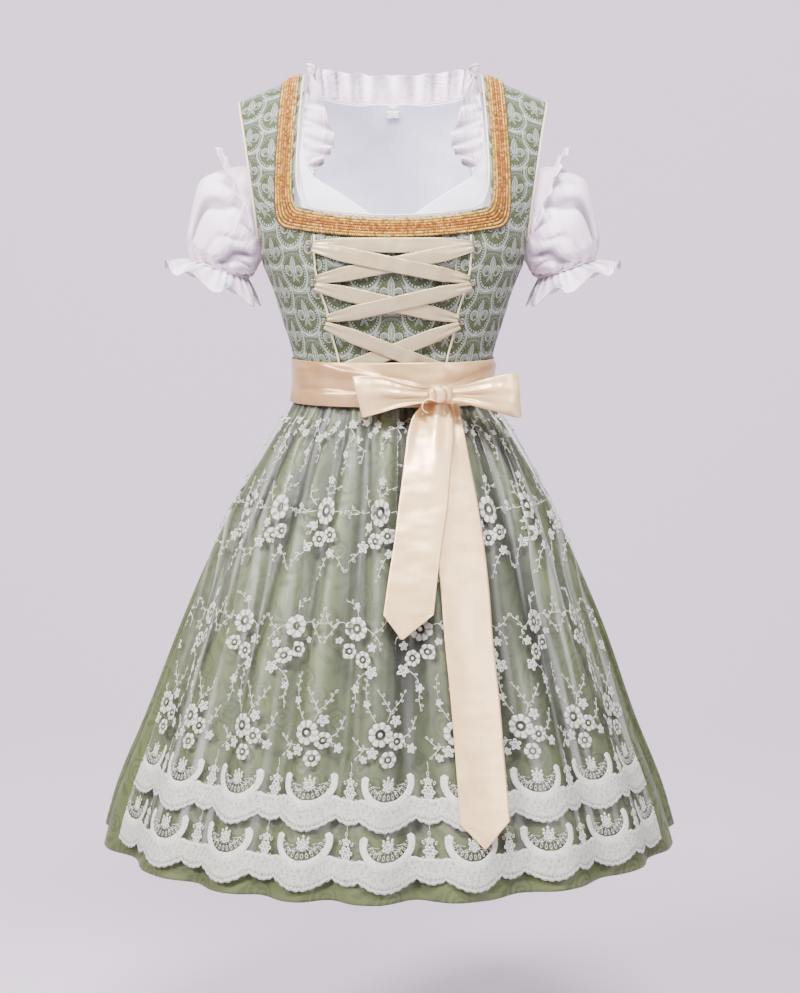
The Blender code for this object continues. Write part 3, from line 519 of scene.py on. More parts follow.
def clothUv(tree):
    # the cloth's own coordinates, in millimetres
    uv = Value(tree, addNode(tree, "ShaderNodeUVMap", uv_map="cloth").outputs[0])
    return uv.stretch((1000.0, 1000.0, 1.0))


def attribute(tree, name):
    return Value(tree, addNode(tree, "ShaderNodeAttribute", attribute_name=name).outputs["Fac"])


def paintedFoldShade(tree, share):
    # painted shade: how far a point's colour is darkened, from how deep in a fold it lies as its piece says
    return attribute(tree, "hollow").calc("MULTIPLY", share, use_clamp=True)


def newGroup(name, inputs, outputs):
    tree = bpy.data.node_groups.new(name, "ShaderNodeTree")
    for label, kind in inputs.items():
        tree.interface.new_socket(label, in_out="INPUT", socket_type="NodeSocket" + kind)
    for label in outputs:
        tree.interface.new_socket(label, in_out="OUTPUT", socket_type="NodeSocketFloat")
    given = [Value(tree, socket) for socket in tree.nodes.new("NodeGroupInput").outputs[:len(inputs)]]
    return tree, given, tree.nodes.new("NodeGroupOutput")


def useGroup(vector, group, **inputs):
    made = addNode(vector.tree, "ShaderNodeGroup", node_tree=group)
    feed(made, Vector=vector, **inputs)
    return {socket.name: Value(vector.tree, socket) for socket in made.outputs}


def weaveGroup():
    # plain weave: height and shade of crossing threads of a given pitch in millimetres
    tree, (place, pitch), sink = newGroup("plainWeave", {"Vector": "Vector", "Pitch": "Float"},
                                          ["Height", "Shade"])
    warp, weft = [abs((part / pitch * math.pi).calc("SINE")) for part in place.parts()]
    feed(sink, Height=warp * weft, Shade=place.stretch((0.35, 0.05, 1.0)).noise(2.0).ramp(0.3, 0.7))
    return tree


def creaseGroup():
    # soft wear creases over a cloth, -1 to 1
    tree, (place, size), sink = newGroup("softCreases", {"Vector": "Vector", "Size": "Float"}, ["Height"])
    scaled = place.vector("DIVIDE", size)
    wide = scaled.noise(1.0, 2.0, 0.45)
    warped = scaled.vector("ADD", wide)
    feed(sink, Height=abs(warped.noise(2.1, 1.0) - 0.5).times(-1.6, wide))
    return tree


def tileCentre(vector, width, height, shift):
    # the place within a repeat, measured from the motif's middle
    across, up = [(part.times(1 / size, shift).calc("FRACT") - 0.5) * size
                  for part, size in zip(vector.parts(), (width, height))]
    return across.joined(up)


brocadeSettings = {
    "repeat": (67.0, 58.0),     # millimetres, half-drop
    "frame": (20.5, 26.0), "beads": 32, "beadInset": 3.3,
    "ground": (78, 88, 57), "groundDark": (48, 56, 33), "silver": (122, 128, 120),
    "line": (210, 214, 208),
}


def lilyGroup():
    # one lily in its beaded frame, in millimetres about the frame's middle
    made = brocadeSettings
    tree, (place,), sink = newGroup("lilyInFrame", {"Vector": "Vector"},
                                    ["Petal", "Line", "Bead", "Frame", "Leaves"])
    side, up = place.parts()
    across = abs(side)
    half = across.joined(up)
    petals = nearest([
        half.leaf((0.0, 8.0), (4.2, 13.4)), half.oval((8.4, 0.8), (5.6, 6.8), -18.0),
        half.leaf((2.6, -9.6), (1.5, 4.4), 32.0), half.oval((0.0, -6.2), (3.4, 1.3))])
    hook = half.oval((6.4, -3.6), (3.1, 4.6), -18.0)
    petal = petals.ramp(1.0, 0.92) * hook.ramp(0.85, 1.0)
    edge = abs(petals - 0.95).ramp(0.09, 0.04)
    vein = abs(across).ramp(0.4, 0.2) * (up.ramp(-2.0, 0.0) * up.ramp(14.0, 12.0))
    radius = sum(made["frame"]) / 2
    off = (place.oval((0.0, 0.0), made["frame"]) - 1.0) * radius
    second = abs(off + 1.7).ramp(0.4, 0.2)
    lower = up.ramp(14.0, 3.0, 0.25, 1.0)
    frameLine = abs(off).ramp(0.75, 0.45) * lower
    count = made["beads"]
    cell = up.calc("ARCTAN2", side).times(count / (2 * math.pi), 0.5).calc("FRACT")
    along = (cell - 0.5) * (2 * math.pi * radius / count)
    outward = off + (made["beadInset"] + 1.0)
    bead = along.joined(outward).oval((0.0, 0.0), (1.15, 1.3)).ramp(1.0, 0.75) * lower
    leaves = nearest([
        half.leaf((0.0, -27.0), (3.6, 7.0)), half.leaf((6.0, -27.5), (3.0, 7.0), -50.0),
        half.leaf((12.5, -23.5), (2.6, 6.5), -68.0), half.oval((4.4, -32.5), (2.6, 3.0), -30.0)])
    lines = nearest([1.0 - item for item in
                     (edge, vein, frameLine, abs(leaves - 0.95).ramp(0.11, 0.05))])
    feed(sink, Petal=petal, Line=(1.0 - lines).most(second * lower), Bead=bead,
         Frame=off.ramp(-0.3, 0.3), Leaves=leaves.ramp(1.0, 0.9))
    return tree


def makeBrocade():
    made = brocadeSettings
    material, tree, shader = newMaterial("greenBrocade")
    place = clothUv(tree)
    lily = lilyGroup()
    first, second = [useGroup(tileCentre(place, *made["repeat"], shift), lily) for shift in (0.0, 0.5)]

    def either(label):
        return first[label].most(second[label])

    outside = first["Frame"] * second["Frame"]
    rings = abs((place.noise(0.16, 2.0, 0.55) * 46.0).calc("SINE"))
    filled = outside * rings.ramp(0.3, 0.7, 0.42, 0.0)
    motif = either("Petal").most(filled).most(either("Leaves"))
    line = either("Line").most(either("Bead"))
    threads = useGroup(place, weave, Pitch=0.42)
    fray = place.noise(1.4, 3.0, 0.7).ramp(0.25, 0.6, 0.45, 1.0)
    mottle = place.noise(0.35, 4.0, 0.6).ramp(0.3, 0.7)
    ground = mottle.blend(linear(*made["groundDark"]), linear(*made["ground"]))
    woven = (motif * 0.85 * fray).blend(ground, linear(*made["silver"]))
    colour = (line * 0.66 * fray).blend(woven, linear(*made["line"]))
    raised = line.times(0.6, motif.times(0.5, threads["Height"] * 0.35))
    soft = useGroup(place, creases, Size=34.0)["Height"].bump(0.3, 0.004)
    feed(shader, Base_Color=colour, Normal=raised.bump(0.55, 0.0004, soft),
         Roughness=motif.ramp(0.0, 1.0, 0.62, 0.48), Specular_IOR_Level=0.35)
    return material


jacquardSettings = {
    "repeat": (86.0, 104.0),    # millimetres, half-drop
    # deep: the colour of the painted shade in the skirt's folds
    "ground": (76, 85, 48), "dark": (50, 57, 28), "light": (96, 106, 64), "deep": (22, 27, 15),
    # spirals: centre, way round, size, pitch; leaves: centre, half sizes, turn in degrees
    "spirals": (((14.0, 12.0), 1.0, 19.0, 8.0), ((-14.0, -22.0), -1.0, 16.0, 7.0)),
    "leaves": (((-13.0, 14.0), (5.0, 14.0), 35.0), ((-25.0, 2.0), (4.2, 12.0), 78.0),
               ((9.0, -16.0), (5.0, 13.0), -30.0), ((25.0, -28.0), (4.5, 12.0), 20.0),
               ((-4.0, 38.0), (5.0, 12.0), -60.0), ((30.0, 34.0), (4.0, 11.0), 15.0)),
}


def scrollGroup():
    # one scroll with leaves, in millimetres about the middle of its repeat
    made = jacquardSettings
    tree, (place,), sink = newGroup("scrollWithLeaves", {"Vector": "Vector"}, ["Mask"])
    warp = place.made("ShaderNodeTexNoise", {"Vector": place, "Scale": 0.06, "Detail": 1.0}, "Color")
    flat = warp.vector("MULTIPLY_ADD", (9.0, 9.0, 0.0), place).vector("MULTIPLY", (1.0, 1.0, 0.0))
    masks = []
    for centre, way, size, pitch in made["spirals"]:
        local = flat.vector("SUBTRACT", (*centre, 0.0))
        across, up = local.parts()
        away = local.length()
        turns = up.calc("ARCTAN2", across).times(way / (2 * math.pi), away / pitch)
        masks.append(abs(turns.calc("FRACT") - 0.5).ramp(0.27, 0.2) * away.ramp(size, size - 1.5))
    leaves = nearest([flat.leaf(*shape) for shape in made["leaves"]])
    feed(sink, Mask=masks[0].most(masks[1]).most(leaves.ramp(1.0, 0.88)))
    return tree


def makeJacquard():
    made = jacquardSettings
    material, tree, shader = newMaterial("greenJacquard")
    place = clothUv(tree)
    scroll = scrollGroup()
    masks = [useGroup(tileCentre(place, *made["repeat"], shift), scroll)["Mask"] for shift in (0.0, 0.5)]
    motif = masks[0].most(masks[1])
    ground = place.noise(0.02, 3.0).ramp(0.3, 0.7, 0.15, 0.55).blend(linear(*made["ground"]),
                                                                      linear(*made["light"]))
    toned = (motif * 0.5).blend(ground, linear(*made["dark"]))
    fine = place.stretch((3.0, 0.6, 1.0)).noise(1.0, 3.0, 0.6)
    colour = fine.ramp(0.3, 0.7, 0.0, 0.16).blend(toned, linear(*made["dark"]))
    # painted shade deep in the folds
    colour = paintedFoldShade(tree, 0.9).blend(colour, linear(*made["deep"]))
    twill = place.wave("DIAGONAL", Scale=0.55, Distortion=0.4)
    soft = place.noise(0.022, 2.0, 0.45).bump(0.45, 0.006)
    feed(shader, Base_Color=colour, Normal=twill.bump(0.12, 0.0003, soft),
         Roughness=motif.ramp(0.0, 1.0, 0.46, 0.58), Specular_IOR_Level=0.5)
    return material


satinColours = {
    # each: a lit tone, a shaded tone, and the painted shade in folds
    "peach": ((250, 214, 160), (232, 190, 134), (146, 104, 60)),
    "cream": ((190, 174, 136), (168, 150, 112), (110, 96, 66)),
    "piping": ((236, 220, 182), (214, 194, 148), (160, 140, 96)),
}


def makeSatin(name, colours, rough=0.32, twist=False, creased=0.6):
    # fine glossy weave that lies in broad smooth folds
    light, shade, deep = [linear(*colour) for colour in satinColours[colours]]
    material, tree, shader = newMaterial(name)
    place = clothUv(tree)
    threads = place.stretch((7.0, 0.12, 1.0)).noise(1.0, 3.0, 0.6)
    drift = place.stretch((0.05, 0.02, 1.0)).noise(1.0, 3.0)
    # painted sheen: the colour moves at random between the lit and the shaded tone, along the threads and in
    # broad patches
    colour = threads.times(0.3, drift.ramp(0.3, 0.75, 0.0, 0.5)).blend(light, shade)
    # painted shade in the folds
    colour = paintedFoldShade(tree, 0.8).blend(colour, deep)
    if twist:
        height = place.wave("DIAGONAL", Scale=0.28)
    else:
        height = place.stretch((0.15, 5.0, 1.0)).noise(1.0, 2.0).times(0.4, threads)
    broad = place.stretch((0.022, 0.04, 1.0)).noise(1.0, 1.0).bump(creased, 0.010)
    feed(shader, Base_Color=colour, Normal=height.bump(0.5 if twist else 0.16, 0.00025, broad),
         Roughness=threads.ramp(0.2, 0.8, rough - 0.05, rough + 0.08), Specular_IOR_Level=0.7,
         Metallic=0.1 if twist else 0.3)
    return material


def makeCotton(name, colour=(249, 232, 244), shade=(222, 202, 220), size=30.0, depth=0.7):
    material, tree, shader = newMaterial(name)
    place = clothUv(tree)
    threads = useGroup(place, weave, Pitch=0.38)
    soft = useGroup(place, creases, Size=size)["Height"]
    # yarn slubs, and painted shade along the soft creases' lines, move the colour towards the shade colour
    tone = threads["Shade"].times(0.25, soft.ramp(0.1, 0.7, 0.35, 0.0))
    toned = tone.blend(linear(*colour), linear(*shade))
    # painted shade, a dark lilac grey, deep in the folds
    feed(shader, Base_Color=paintedFoldShade(tree, 0.75).blend(toned, linear(104, 96, 114)),
         Normal=threads["Height"].bump(0.25, 0.00015, soft.bump(depth, 0.004)),
         Roughness=threads["Shade"].ramp(0.0, 1.0, 0.82, 0.92), Specular_IOR_Level=0.25)
    return material


def makeNet():
    # net too fine to see thread by thread; it veils more where it lies double
    material, tree, shader = newMaterial("sheerNet")
    feed(shader, Alpha=attribute(tree, "hollow"), Base_Color=linear(198, 197, 194), Roughness=0.8,
         Specular_IOR_Level=0.2)
    return material


def makeLace():
    # embroidery: dense parallel stitches across each shape, darker where the pattern has small gaps
    material, tree, shader = newMaterial("laceThread")
    place = clothUv(tree)
    stitch = place.wave("X", Scale=0.42, Distortion=2.2, Detail=1.0)
    fuzz = place.noise(0.9, 3.0, 0.65)
    cells = place.made("ShaderNodeTexVoronoi", {"Vector": place, "Scale": 0.34, "Randomness": 0.9},
                       "Distance", feature="F1")
    tone = stitch.times(-0.2, fuzz.ramp(0.38, 0.58).times(-0.5, 0.66))
    tone = cells.ramp(0.45, 0.8).times(0.18, tone)
    tone = attribute(tree, "gaps").times(0.85, tone)
    feed(shader, Base_Color=tone.blend(linear(222, 219, 211), linear(96, 102, 82)),
         Normal=fuzz.times(0.6, stitch).bump(0.3, 0.0003), Roughness=0.72)
    return material


def makeGold(name, colour, deep, metal):
    # metallic yarn laid in small twisted stitches
    material, tree, shader = newMaterial(name)
    yarn = clothUv(tree).wave("DIAGONAL", Scale=0.6, Distortion=0.6)
    # each stitch's own random value: painted shade on the low ones, a painted glint on the top ones
    own = attribute(tree, "glint")
    spark = own.ramp(0.70, 0.92)
    tone = own.ramp(0.55, 0.0).times(0.8, yarn * 0.25)
    mixed = tone.blend(linear(*colour), linear(*deep))
    feed(shader, Base_Color=(spark * 0.5).blend(mixed, linear(246, 206, 122)),
         Normal=yarn.bump(0.7, 0.0003), Roughness=spark.ramp(0.0, 1.0, 0.55, 0.3), Metallic=metal)
    return material


def makeSilver():
    material, tree, shader = newMaterial("antiqueSilver")
    place = Value(tree, addNode(tree, "ShaderNodeTexCoord").outputs["Object"])
    dark = place.noise(900.0, 3.0, 0.6).ramp(0.35, 0.6)
    feed(shader, Base_Color=dark.blend(linear(92, 86, 74), linear(206, 200, 184)),
         Roughness=dark.ramp(0.0, 1.0, 0.5, 0.26), Normal=dark.bump(0.3, 0.0002), Metallic=0.9)
    return material


print("materials")
weave = weaveGroup()
creases = creaseGroup()
brocade = makeBrocade()
jacquard = makeJacquard()
peachSatin = makeSatin("peachSatin", "peach")
tailSatin = makeSatin("tailSatin", "peach", creased=0.22)
creamSatin = makeSatin("creamSatin", "cream", 0.36, creased=0.5)
pipingSatin = makeSatin("pipingSatin", "piping", 0.45, twist=True, creased=0.1)
whiteCotton = makeCotton("whiteCotton")
smoothCotton = makeCotton("smoothCotton", (240, 238, 252), (226, 222, 242), 70.0, 0.25)
labelCloth = makeCotton("labelCloth", (240, 240, 240), (226, 226, 228), 40.0, 0.1)
sheerNet = makeNet()
laceThread = makeLace()
goldYarn = makeGold("goldYarn", (226, 180, 84), (142, 100, 36), 0.3)
copperYarn = makeGold("copperYarn", (200, 132, 50), (132, 80, 24), 0.3)
braidGround = makeGold("braidGround", (160, 108, 40), (96, 60, 18), 0.1)
silver = makeSilver()


# bodice
def bodyAxis(point):
    level = bodySettings["underarmZ"] if point.z > -0.218 else point.z - 0.02
    return Vector((point.x * 0.4, 0.0, level))


frontArches = makeForm("row inner outer", [
    (0, 85.0, 87.0), (1, 79.0, 81.0), (2, 73.3, 74.0), (3, 71.9, 66.0), (4, 61.0, 57.0), (5, 50.0, 48.0),
    (6, 39.0, 38.5), (7, 28.5, 28.5), (8, 18.5, 18.5), (9, 9.0, 9.0), (10, 0.0, 0.0)])
backArches = makeForm("row inner outer", [
    (0, 86.0, 87.0), (1, 80.0, 81.0), (2, 74.0, 74.0), (3, 66.0, 66.0), (4, 57.0, 57.0), (5, 45.8, 48.0)])
backStrap = makeForm("row scoop outer", [
    (5, 0.0, 48.0), (6, 26.0, 38.5), (7, 46.0, 28.5), (8, 62.0, 18.5), (9, 76.0, 9.0), (10, 90.0, 0.0)])
bodiceSettings = {"sideColumns": 36, "lowRows": 36, "archStep": 0.25, "drag": 0.0007, "strapInset": 0.005}


def clothEase(x, z, seed):
    # soft drag lines that run across the close-fitting cloth, always inwards
    near = smoothStep(-0.24, -0.35, z)
    pull = ruffled((x + z * 0.3, z * 3.2), 24.0, seed)
    return -bodiceSettings["drag"] * (0.35 + near) * max(0.0, 0.5 + pull)


def sideRows(side, seed, startAt, endsAt):
    # rows from the waist to the shoulder, each from the inner edge or seam round to the side
    rows, columns = [], bodiceSettings["sideColumns"]
    for z in spread(bodySettings["waistZ"], bodySettings["underarmZ"], bodiceSettings["lowRows"]):
        rows.append([lowPoint(a, z, side, clothEase(a / 400, z, seed))
                     for a in spread(sideAngle(startAt(z), z), 90.0, columns)])
    step = bodiceSettings["archStep"]
    for i in range(int(10 / step) + 1):
        xIn, inner, outer = endsAt(i * step)
        rows.append([archPoint(x, arch, side, clothEase(x, archZ(x, arch), seed)) for x, arch in
                     zip(spread(xIn, edgeAt(armholeForm, outer), columns), spread(inner, outer, columns))])
    return rows


def sideFrontRows():
    seam, high = bodySettings["seam"], bodySettings["seamSide"]

    def endsAt(row):
        inner, outer = readForm(frontArches, "inner", row), readForm(frontArches, "outer", row)
        if row <= 2:
            return readForm(princessForm, "x", archZ(high, inner)) + seam, inner, outer
        if row < 3:
            x = high + seam + (bodySettings["neckCornerX"] - high - seam) * (row - 2)
            return x, archOf(x, necklineZ(x)), outer
        return edgeAt(neckForm, inner), inner, outer

    return sideRows(-1, 1.0, lambda z: readForm(princessForm, "x", z) + seam, endsAt)


def centreFrontRows():
    low, rows = bodySettings["waistZ"], []
    for v in spread(0.0, 1.0, 54):
        row = []
        for u in spread(-1.0, 1.0, 52):
            z = low + (necklineZ(u * bodySettings["seamSide"]) - low) * v
            x = u * (readForm(princessForm, "x", z) - bodySettings["seam"])
            row.append(torsoPoint(x, z, -1, clothEase(x, z, 4.0)))
        rows.append(row)
    return rows


def backRows():
    seam = bodySettings["seam"]

    def endsAt(row):
        if row <= 5:
            return seam, readForm(backArches, "inner", row), readForm(backArches, "outer", row)
        way = math.radians(readForm(backStrap, "scoop", row))
        x = max(seam, bodySettings["shoulderNeckX"] * math.sin(way))
        return x, archOf(x, -bodySettings["backNeckDrop"] * math.cos(way)), readForm(backStrap, "outer", row)

    return sideRows(1, 8.0, lambda z: seam, endsAt)


def backPlaces(rows):
    # the weave stands upright over the whole back, also where the rows fan out to the shoulder
    def lengthOf(line):
        return sum((after - before).length for before, after in zip(line, line[1:]))

    seam, low = bodySettings["seam"], bodySettings["underarmZ"]
    return [[(lengthOf([torsoPoint(x, point.z, 1) for x in spread(seam, point.x + 1e-6, 16)]),
              point.z if point.z < low else
              low + lengthOf([torsoPoint(point.x, z, 1) for z in spread(low, point.z, 16)]))
             for point in row] for row in rows]


def besideEdge(edge, inside, clear):
    line = []
    last = len(edge) - 1
    for i, (point, back) in enumerate(zip(edge, inside)):
        along = (edge[min(i + 1, last)] - edge[max(i - 1, 0)]).normalized()
        inward = back - point
        inward -= along * inward.dot(along)
        line.append(point - inward.normalized() * clear)
    return line


def thinned(points, gap):
    kept = [points[0]]
    for point in points[1:]:
        if (point - kept[-1]).length >= gap:
            kept.append(point)
    return kept


def makeBodice():
    front, back, centre = sideFrontRows(), backRows(), centreFrontRows()
    for row in back:                         # the shoulder's inner edge stands behind the front strap
        for k, point in enumerate(row):
            near = smoothStep(0.004, 0.026, point.y) * smoothStep(-0.045, -0.022, point.z)
            point.x += bodiceSettings["strapInset"] * near * (1 - k / len(row))
    how = {"behind": bodyAxis, "slot": "brocade"}
    wall, places = bodySettings["cloth"], backPlaces(back)
    pieces = [clothPiece("bodiceFrontCentre", centre, brocade, wall, node="bodice_front_centre", **how)]
    for side, turn in (("Right", sameGrid), ("Left", mirrorGrid)):
        pieces.append(clothPiece("bodiceFront" + side, turn(front), brocade, wall, middle=0.0,
                                 node="bodice_front_" + side.lower(), **how))
        pieces.append(clothPiece("bodiceBack" + side, turn(back), brocade, wall, uvRows=places,
                                 node="bodice_back_" + side.lower(), **how))
    makePipings(front, back, centre)


def makePipings(front, back, centre):
    radius, clear, gap = 0.0013, 0.0019, 0.0015       # cord, its way off the edge, its points' distance
    low = bodiceSettings["lowRows"]
    high = low + int(2 / bodiceSettings["archStep"])       # the row where the neckline starts
    strap = list(reversed(front[high:]))
    neck = [row[0] for row in strap] + list(reversed(centre[-1]))
    inside = [row[1] for row in strap] + list(reversed(centre[-2]))
    mirrored = mirrorGrid([[row[0], row[1]] for row in reversed(strap)])
    neck += [row[0] for row in mirrored]
    inside += [row[1] for row in mirrored]
    line = softened(thinned(besideEdge(neck, inside, clear), gap), 3, 2)
    cordPiece("necklinePiping", line, radius, pipingSatin, "neckline_piping", "piping")
    under = lowPoint(90.0, bodySettings["underarmZ"], -1)
    under.y = 0.0
    loop = list(reversed(front[low + 2:])) + [None] + back[low + 2:]
    edge = [row[-1] if row else under for row in loop]
    inner = [row[-2] if row else under - Vector((0, 0, 0.02)) for row in loop]
    edge = softened(thinned(besideEdge(edge, inner, clear), gap), 2, 2)
    seam = [torsoPoint(readForm(princessForm, "x", z), z, -1, radius + 0.0003)
            for z in spread(-0.1995, -0.381, 90)]
    for side, turn in (("right", sameGrid), ("left", mirrorGrid)):
        for name, points in (("princess", seam), ("armhole", edge)):
            cordPiece(name + "Piping" + side.title(), turn([points])[0], radius, pipingSatin,
                      "%s_piping_%s" % (name, side), "piping")


def softened(points, reach, times):
    for _ in range(times):
        last = len(points) - 1
        points = [points[0]] + [
            sum((points[j] for j in range(max(0, i - reach), min(last, i + reach) + 1)), Vector())
            / (min(last, i + reach) - max(0, i - reach) + 1) for i in range(1, last)] + [points[-1]]
    return points


# gold braid
braidSettings = {
    "width": 0.022, "inset": 0.0030, "lift": 0.0017, "wall": 0.0010, "turn": 70.0, "mitre": 7.5,
    "lanes": ((0.0014, 0), (0.0043, 0), (0.0074, 1), (0.0105, 1), (0.0136, 1), (0.0168, 0), (0.0201, 0)),
    "pitch": 0.0024, "stitch": (0.0046, 0.0021, 0.0013), "lean": 0.95, "rows": 330,
}


def braidEdges():
    made = braidSettings
    inner, outer = [], []
    for arch in spread(1.5, made["turn"], 60):
        x = edgeAt(neckForm, arch) + made["inset"]
        inner.append((x, archZ(x, arch)))
        turned = arch + (arch / made["turn"]) ** 4 * made["mitre"]
        outer.append((x + made["width"], archZ(x + made["width"], turned)))
    corner = bodySettings["neckCornerX"] + made["inset"]
    for u in spread(0.985, -0.985, 130):
        z = necklineZ(u * bodySettings["neckCornerX"]) - made["inset"]
        inner.append((u * corner, z))
        outer.append((u * (corner + made["width"]), z - made["width"]))
    for edge in (inner, outer):
        edge += [(-x, z) for x, z in reversed(edge[:60])]
    return [softened([Vector((x, 0.0, z)) for x, z in edge], reach, 2) for edge, reach in ((inner, 3),
                                                                                           (outer, 4))]


def braidPlace(inner, outer, way, across, lift):
    # way: metres along the braid, across: from its inner edge
    i = min(len(inner) - 2, max(0, int(way)))
    t = way - i
    a, b = inner[i].lerp(inner[i + 1], t), outer[i].lerp(outer[i + 1], t)
    flat = a.lerp(b, across / braidSettings["width"])
    return torsoPoint(flat.x, flat.z, -1, lift)


def makeBraid():
    made = braidSettings
    inner, outer = braidEdges()
    count, top = made["rows"], made["lift"] + made["wall"]
    rows = [[braidPlace(inner, outer, way, w, made["lift"]) for w in spread(0.0, made["width"], 7)]
            for way in spread(0.0, len(inner) - 1.001, count)]
    strip = clothPiece("neckBraid", rows, braidGround, made["wall"], offset=1.0, node="neckline_braid",
                       slot="braid", behind=bodyAxis, middle=0.5)
    ways, total = [0.0], 0.0
    for before, after in zip(rows, rows[1:]):
        total += (after[3] - before[3]).length
        ways.append(total)
    noise.seed_set(5)
    stitches = ([], [], []), ([], [], [])        # points, faces and each stitch's random value of painted glint and shade, for the gold and the copper yarn
    for lane, (across, copper) in enumerate(made["lanes"]):
        verts, faces, glints = stitches[copper]
        lean = made["lean"] if lane % 2 else -made["lean"]
        for k in range(int(total / made["pitch"])):
            spot = (k + 0.5 * (lane % 2)) * made["pitch"] + 0.001
            way = np.interp(spot, ways, range(count)) * (len(inner) - 1.001) / (count - 1)
            if way > len(inner) - 1.5:
                continue
            middle = braidPlace(inner, outer, way, across, top)
            ahead = braidPlace(inner, outer, way + 0.3, across, top) - middle
            beside = braidPlace(inner, outer, way, across + 0.0005, top) - middle
            normal = ahead.cross(beside).normalized()
            if normal.y > 0:
                normal.negate()
            along = (ahead.normalized() + beside.normalized() * lean).normalized()
            side = normal.cross(along)
            long, wide, high = made["stitch"]
            wobble = 0.8 + 0.5 * noise.random()
            glints += [noise.random()] * 8
            start = len(verts)
            for a, s, h in ((-.5, 0, 0), (-.22, -.5, 0), (.22, -.5, 0), (.5, 0, 0), (.22, .5, 0),
                            (-.22, .5, 0), (-.2, 0, 1), (.2, 0, 1)):
                verts.append(middle + along * a * long + side * s * wide + normal * h * high * wobble)
            faces += [tuple(start + n for n in face) for face in (
                (0, 1, 6), (1, 2, 7, 6), (2, 3, 7), (3, 4, 7), (4, 5, 6, 7), (5, 0, 6), (5, 4, 3, 2, 1, 0))]
    for name, material, (verts, faces, glints) in (("Gold", goldYarn, stitches[0]),
                                                   ("Copper", copperYarn, stitches[1])):
        stitchPiece("braid%sYarn" % name, verts, faces, material, "braid", glint=glints)


# lacing
lacingSettings = {
    "hooks": ((0.1030, -0.2105), (0.0975, -0.2572), (0.0845, -0.3055)),
    "width": 0.018, "gathered": 0.009, "gatherLength": 0.035, "crossing": 0.0108,
    "lowest": 0.0034, "under": 0.0052, "over": 0.0070, "step": 0.021, "hookReach": 0.0052,
    "waistEnd": (0.0570, -0.3650), "wall": 0.0008,
    "topDrop": 0.0015, "startDrop": 0.0048, "endRise": 0.0035,      # where a stretch meets its hook
    "tuck": 0.0007, "soft": 0.0006, "curled": 0.0004,       # relief at a hook, between hooks, at the edges
}
levels = ("upper", "middle", "lower")


def ribbonRows(start, end, level, toHook):
    # one stretch of ribbon: narrow at a hook, over or under the one it crosses, then down to the cloth
    made, rows = lacingSettings, []
    (startX, startZ), (endX, endZ) = start, end
    length = math.hypot(endX - startX, endZ - startZ)
    across = (-(endZ - startZ) / length, (endX - startX) / length)
    crossing = min(0.4 * length, made["crossing"] / max(0.01, abs(endZ - startZ) / length))
    seed = startX * 31 + endZ * 17
    for s in spread(0.0, 1.0, 90):
        x, z = startX + (endX - startX) * s, startZ + (endZ - startZ) * s
        near = min(1.0, (min(s, 1 - s) if toHook else s) * length / made["gatherLength"])
        width = made["gathered"] + (made["width"] - made["gathered"]) * near ** 0.8
        blend = smoothStep(0.0, 1.0, ((s - 0.5) * length - crossing) / made["step"])
        lift = level + (made["lowest"] - level) * blend
        row = []
        for o in spread(-0.5, 0.5, 15):
            tuck = made["tuck"] * (1 - near) * math.cos(o * 12 + seed)
            soft = made["soft"] * ruffled((o * 2.2 + seed, s * 5.0), 1.0, seed)
            soft = near * (soft - made["curled"] * (2 * o) ** 4)
            row.append(torsoPoint(x + across[0] * o * width, z + across[1] * o * width, -1,
                                  lift + tuck + soft))
        rows.append(row)
    return rows, length


def makeLacing():
    made = lacingSettings
    right = [(x - made["hookReach"], z) for x, z in made["hooks"]]
    left = [(-x, z) for x, z in right]


    def below(hook, drop):
        return hook[0], hook[1] - drop

    runs = [("top", "lacing_top", below(left[0], made["topDrop"]), below(right[0], made["topDrop"]),
             made["lowest"], True)]
    for i, level in enumerate(levels):
        over = (made["over"], made["under"]) if i != 1 else (made["under"], made["over"])
        last = i == 2
        end = made["waistEnd"] if last else below(right[i + 1], -made["endRise"])
        for name, hook, to, lift in (("Right", left[i], end, over[0]),
                                     ("Left", right[i], (-end[0], end[1]), over[1])):
            runs.append((level + "To" + name, "lacing_%s_to_%s" % (level, name.lower()),
                         below(hook, made["startDrop"]), to, lift, not last))
    for name, node, start, end, level, toHook in runs:
        rows, length = ribbonRows(start, end, level, toHook)
        name = "lacing" + name[0].upper() + name[1:]
        piece = clothPiece(name, rows, creamSatin, made["wall"], offset=1.0, node=node, slot="ribbon",
                           behind=bodyAxis)


hookSettings = {
    "radius": 0.0044, "rim": 0.0005, "plate": (0.0004, 0.0010), "dish": (0.0007, 0.0004),
    "loops": 6, "loop": (0.00088, 0.00026), "loopReach": 0.0021,
    "beads": 12, "bead": 0.00042, "boss": 0.00095,
}


def joinPieces(name, parts):
    deselectAll()
    for part in parts:
        part.select_set(True)
    bpy.context.view_layer.objects.active = parts[0]
    bpy.ops.object.join()
    joined = bpy.context.view_layer.objects.active
    bpy.ops.object.transform_apply(location=True, rotation=True, scale=True)
    joined.name = joined.data.name = name
    deselectAll()
    return joined


